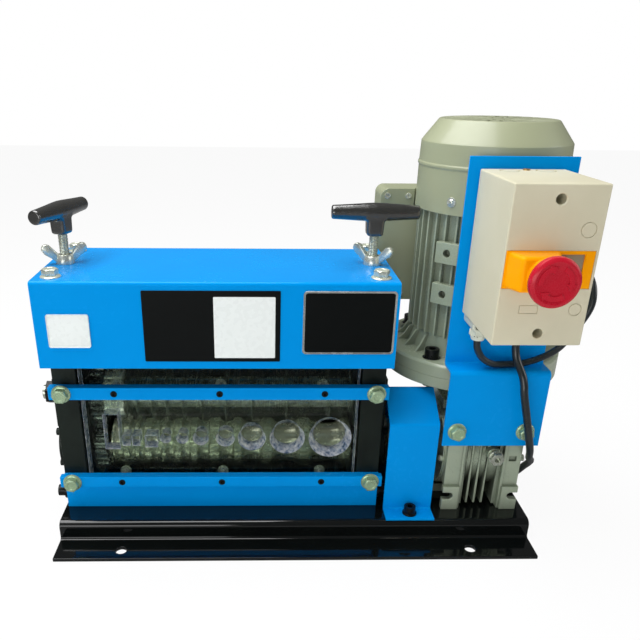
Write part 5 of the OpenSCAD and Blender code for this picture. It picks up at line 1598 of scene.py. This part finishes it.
@dataclass
class StarterSwitch:
    """Bracket, two-part enclosure, yellow housing with the mushroom and the start button."""

    half_w: float = 40.5
    height: float = 141.0
    wall: float = 3.0
    well_z: Pair = (11.5, 128.5)
    mouth: tuple[Pair, ...] = ((0, -1), (6.3, -1), (4.5, 0.8), (4.5, 5), (0, 5))
    well: tuple[Pair, ...] = ((4.5, 2.5), (6, 2.5), (6, 22), (2, 22), (2, 20), (4.5, 20))
    front_rings: tuple[Point, ...] = ((27.5, 103.5, 6.8), (29, 34, 5.8))
    front_groove: Pair = (0.8, 0.7)
    top_ring_x: Pair = (-17.0, 17.0)
    top_ring_y: float = BOX_BACK - 15.0
    top_ring_r: float = 9.4
    top_groove: Pair = (1.5, 1.2)
    square: tuple[Pair, Pair] = ((-21, 30), (-4, 38))
    square_line: float = 0.8
    strip_x: float = 1.5
    strip_z: float = 52.8
    hump_middle: Point = (24, 0, 16.4)
    hump_taper: Point = (0.66, 1, 0.96)
    hump_skin: tuple[float, int] = (0.6, 5)
    collar_r: float = 15.2
    bore_r: float = 7.6
    screw_y: float = BOX_BACK - 11.0
    screw_r: float = 3.4
    mushroom_x: float = 197.5
    mushroom_z: float = 322.8
    mushroom_back: float = -199.0
    cap: tuple[Pair, ...] = ((0, -14), (7.3, -14), (7.3, 0.2), (14, 0), (19.3, 1.4), (21.2, 4.4), (21.5, 7.6),
                             (20.9, 9.8), (19.3, 11.3), (17.8, 11.7), (16.4, 11.2), (9, 10.7), (0, 10.6))
    arrow_starts: tuple[float, ...] = (186, 66, -54)
    arrow_band: Pair = (10.6, 15.0)
    arrow_head: Point = (17.2, 13.6, 8.4)
    arrow_sweep: float = 68
    arrow_tip: float = 26
    arrow_steps: int = 14
    arrow_z: float = 10.2
    arrow_rise: float = 1.7

    def build(self, shop: Workshop) -> None:
        """Refines the enclosure and makes the mushroom."""
        shop.refine("switch_bracket", BLUE, 0.5)
        shop.refine("switch_back_shell", SHELL_PLASTIC, 0.8)
        shop.dress(self._front_cover(), GREY_PLASTIC, "frame", ("switch_front_cover",))
        shop.dress(self._housing(), YELLOW, "frame", ("estop_housing",))
        shop.dress(self._window(), SMOKED, "frame")
        shop.dress(self._top_screw(), BRASS, "frame")
        shop.refine("start_button", BLACK_PLASTIC, 0.6, 3)
        shop.refine("cable_glands", SHELL_PLASTIC, 0.5)
        shop.dress(self._mushroom(), CRIMSON, "stop", ("estop_button",))

    def _front_cover(self) -> Piece:
        """Models the front shell: rounded, hollow, cut for the housing, with screw wells and knock-outs.

        Returns:
            The shell.
        """
        left, right, top = BOX_X - self.half_w, BOX_X + self.half_w, BOX_Z + self.height
        wall = self.wall
        cover = slab("switch_cover", (left, BOX_FRONT, BOX_Z), (right, BOX_BACK - 2, top))
        rounded(cover, 1.5, 4)
        cut(cover, slab("cavity", (left + wall, BOX_FRONT + wall, BOX_Z + wall), (right - wall, 0, top - wall)))
        cut(cover, slab("slot", (left + wall, BOX_BACK - 33.5, BOX_Z - 1), (right - wall, 0, BOX_Z + wall + 1)))
        cut(cover, slab("opening", (left + 1.2, BOX_FRONT - 1, BOX_Z + 52.5),
                        (right - 2.8, BOX_FRONT + wall + 2, BOX_Z + 86)))
        wells = []
        for z in self.well_z:
            place = towards(REAR, (BOX_X, BOX_FRONT, BOX_Z + z))
            cut(cover, put(turned("mouth", self.mouth), place))
            wells.append(put(turned("well", self.well, closed=True), place))
        for x, z, radius in self.front_rings:
            cut(cover, put(self._ring(radius, self.front_groove), towards(REAR, (BOX_X + x, BOX_FRONT, BOX_Z + z))))
        for x in self.top_ring_x:
            cut(cover, put(self._ring(self.top_ring_r, self.top_groove),
                           towards(DOWN, (BOX_X + x, self.top_ring_y, top))))
        cut(cover, self._square())
        return even_shade(smooth(joined("switch_cover", wells + [cover]), CURVED))

    def _ring(self, radius: float, groove: Pair) -> Piece:
        """Makes the cutter of a round knock-out's groove, which runs into the wall along Z.

        Args:
            radius: Outer radius in millimetres.
            groove: Width and depth of the groove.

        Returns:
            The cutter.
        """
        inner, deep = radius - groove[0], groove[1]
        return turned("ring", [(inner, -1), (radius, -1), (radius, deep), (inner, deep)], closed=True)

    def _square(self) -> Piece:
        """Makes the cutter of the square knock-out's groove in the front.

        Returns:
            The cutter.
        """
        (x, z), (far_x, far_z) = self.square
        line = self.square_line
        frame = slab("square", (BOX_X + x, BOX_FRONT - 1, BOX_Z + z), (BOX_X + far_x, BOX_FRONT + 0.6, BOX_Z + far_z))
        return cut(frame, slab("inner", (BOX_X + x + line, BOX_FRONT - 2, BOX_Z + z + line),
                               (BOX_X + far_x - line, BOX_FRONT + 2, BOX_Z + far_z - line)))

    def _place(self, point: Point) -> Point:
        """Gives a place measured from the yellow strip's lower left corner on the enclosure's front."""
        corner = (BOX_X - self.half_w + self.strip_x, BOX_FRONT, BOX_Z + self.strip_z)
        return tuple(a + b for a, b in zip(corner, point))

    def _block(self, name: str, low: Point, high: Point) -> Piece:
        """Adds a block whose corners are measured from the yellow strip's corner."""
        return slab(name, self._place(low), self._place(high))

    def _housing(self) -> Piece:
        """Models the yellow housing: framed window at the right, soft hump with the collar at the left.

        Returns:
            The housing.
        """
        plate = self._block("plate", (0, -0.4, 0), (76.4, 3.9, 32.9))
        cut(plate, self._block("pane", (47.5, -2, 3), (68, 5, 29.9)))
        rounded(plate, 0.5, 3)
        flange = self._block("flange", (2, 3.4, -4), (74.4, 5.5, 36.9))
        cut(flange, self._block("gap", (55, 1, 7), (67, 9, 17)))
        hump = self._block("hump", (0.6, -19, 0.5), (48, 2, 32.4))
        mark_faces(hump, lambda c, n: n.y < -FACING)
        scaled(hump, self.hump_taper, self._place(self.hump_middle))
        rounded(hump, 3.2, 4)
        x, z = self.mushroom_x, self.mushroom_z
        collar = rod("collar", (x, BOX_FRONT - 23.5, z), (x, BOX_FRONT, z), self.collar_r, 64)
        rounded(collar, 1.0, 3)
        soft = melted(joined("hump", [hump, collar]), *self.hump_skin)
        cut(soft, rod("bore", (x, BOX_FRONT - 30, z), (x, BOX_FRONT - 8, z), self.bore_r, 48))
        return smooth(joined("stop_housing", [soft, flange, plate]), 30)

    def _window(self) -> Piece:
        """Models the pane behind the housing's frame, open where the start button stands.

        Returns:
            The pane.
        """
        pane = self._block("housing_window", (47.2, 1.6, 2.7), (68.3, 3.2, 30.2))
        cut(pane, self._block("gap", (55, 0, 7), (67, 5, 17)))
        return smooth(rounded(pane, 0.3, 2))

    def _top_screw(self) -> Piece:
        """Models the slotted screw on top of the enclosure.

        Returns:
            The screw's head.
        """
        y, top = self.screw_y, BOX_Z + self.height
        head = rod("box_top_screw", (BOX_X, y, top - 0.5), (BOX_X, y, top + 1.2), self.screw_r, 32)
        rounded(head, 0.3, 3)
        cut(head, slab("slot", (BOX_X - 4, y - 0.5, top + 0.5), (BOX_X + 4, y + 0.5, top + 2)))
        return smooth(head)

    def _mushroom(self) -> Piece:
        """Models the mushroom with its dished face and three raised turning arrows.

        Returns:
            The button in its place.
        """
        cap = turned("mushroom_cap", self.cap, 72)
        arrows = [self._arrow(start) for start in self.arrow_starts]
        button = joined("stop_mushroom", [cap] + arrows)
        put(button, towards(FRONT, (self.mushroom_x, self.mushroom_back, self.mushroom_z)))
        return smooth(button, 30)

    def _arrow(self, start: float) -> Piece:
        """Models one broad raised arc with an arrow head, turning clockwise.

        Args:
            start: Angle at which the arc begins, in degrees.

        Returns:
            The arrow on the mushroom's face.
        """
        inner, outer = self.arrow_band
        wide, middle, narrow = self.arrow_head
        angles = [math.radians(start - self.arrow_sweep * i / self.arrow_steps) for i in range(self.arrow_steps + 1)]
        tip = math.radians(start - self.arrow_sweep - self.arrow_tip)
        line = [(outer, a) for a in angles] + [(wide, angles[-1]), (middle, tip), (narrow, angles[-1])]
        line += [(inner, a) for a in reversed(angles)]
        points = [(radius * math.cos(a), radius * math.sin(a), self.arrow_z) for radius, a in line]
        return rounded(extruded("arrow", points, (0, 0, self.arrow_rise)), 0.2, 1, 50)


def main() -> None:
    """Builds the machine."""
    logging.basicConfig(level=logging.INFO, format="%(name)s: %(message)s")
    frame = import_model()
    bpy.ops.object.select_all(action="DESELECT")
    shop = Workshop(frame)
    Studio().build()
    for part in (Cords(), HeadFrame(), Cover(), GuidePanel(), Fasteners(), BladeRoll(), FeedRoller(),
                 PressureScrew(-1, 73, 20, "left", "t_left", "wing_left"),
                 PressureScrew(1, 0, -35, "right", "t_right", "wing_right"),
                 Drive(), Motor(), StarterSwitch()):
        part.build(shop)
    bpy.ops.object.select_all(action="DESELECT")


if __name__ == "__main__":
    main()
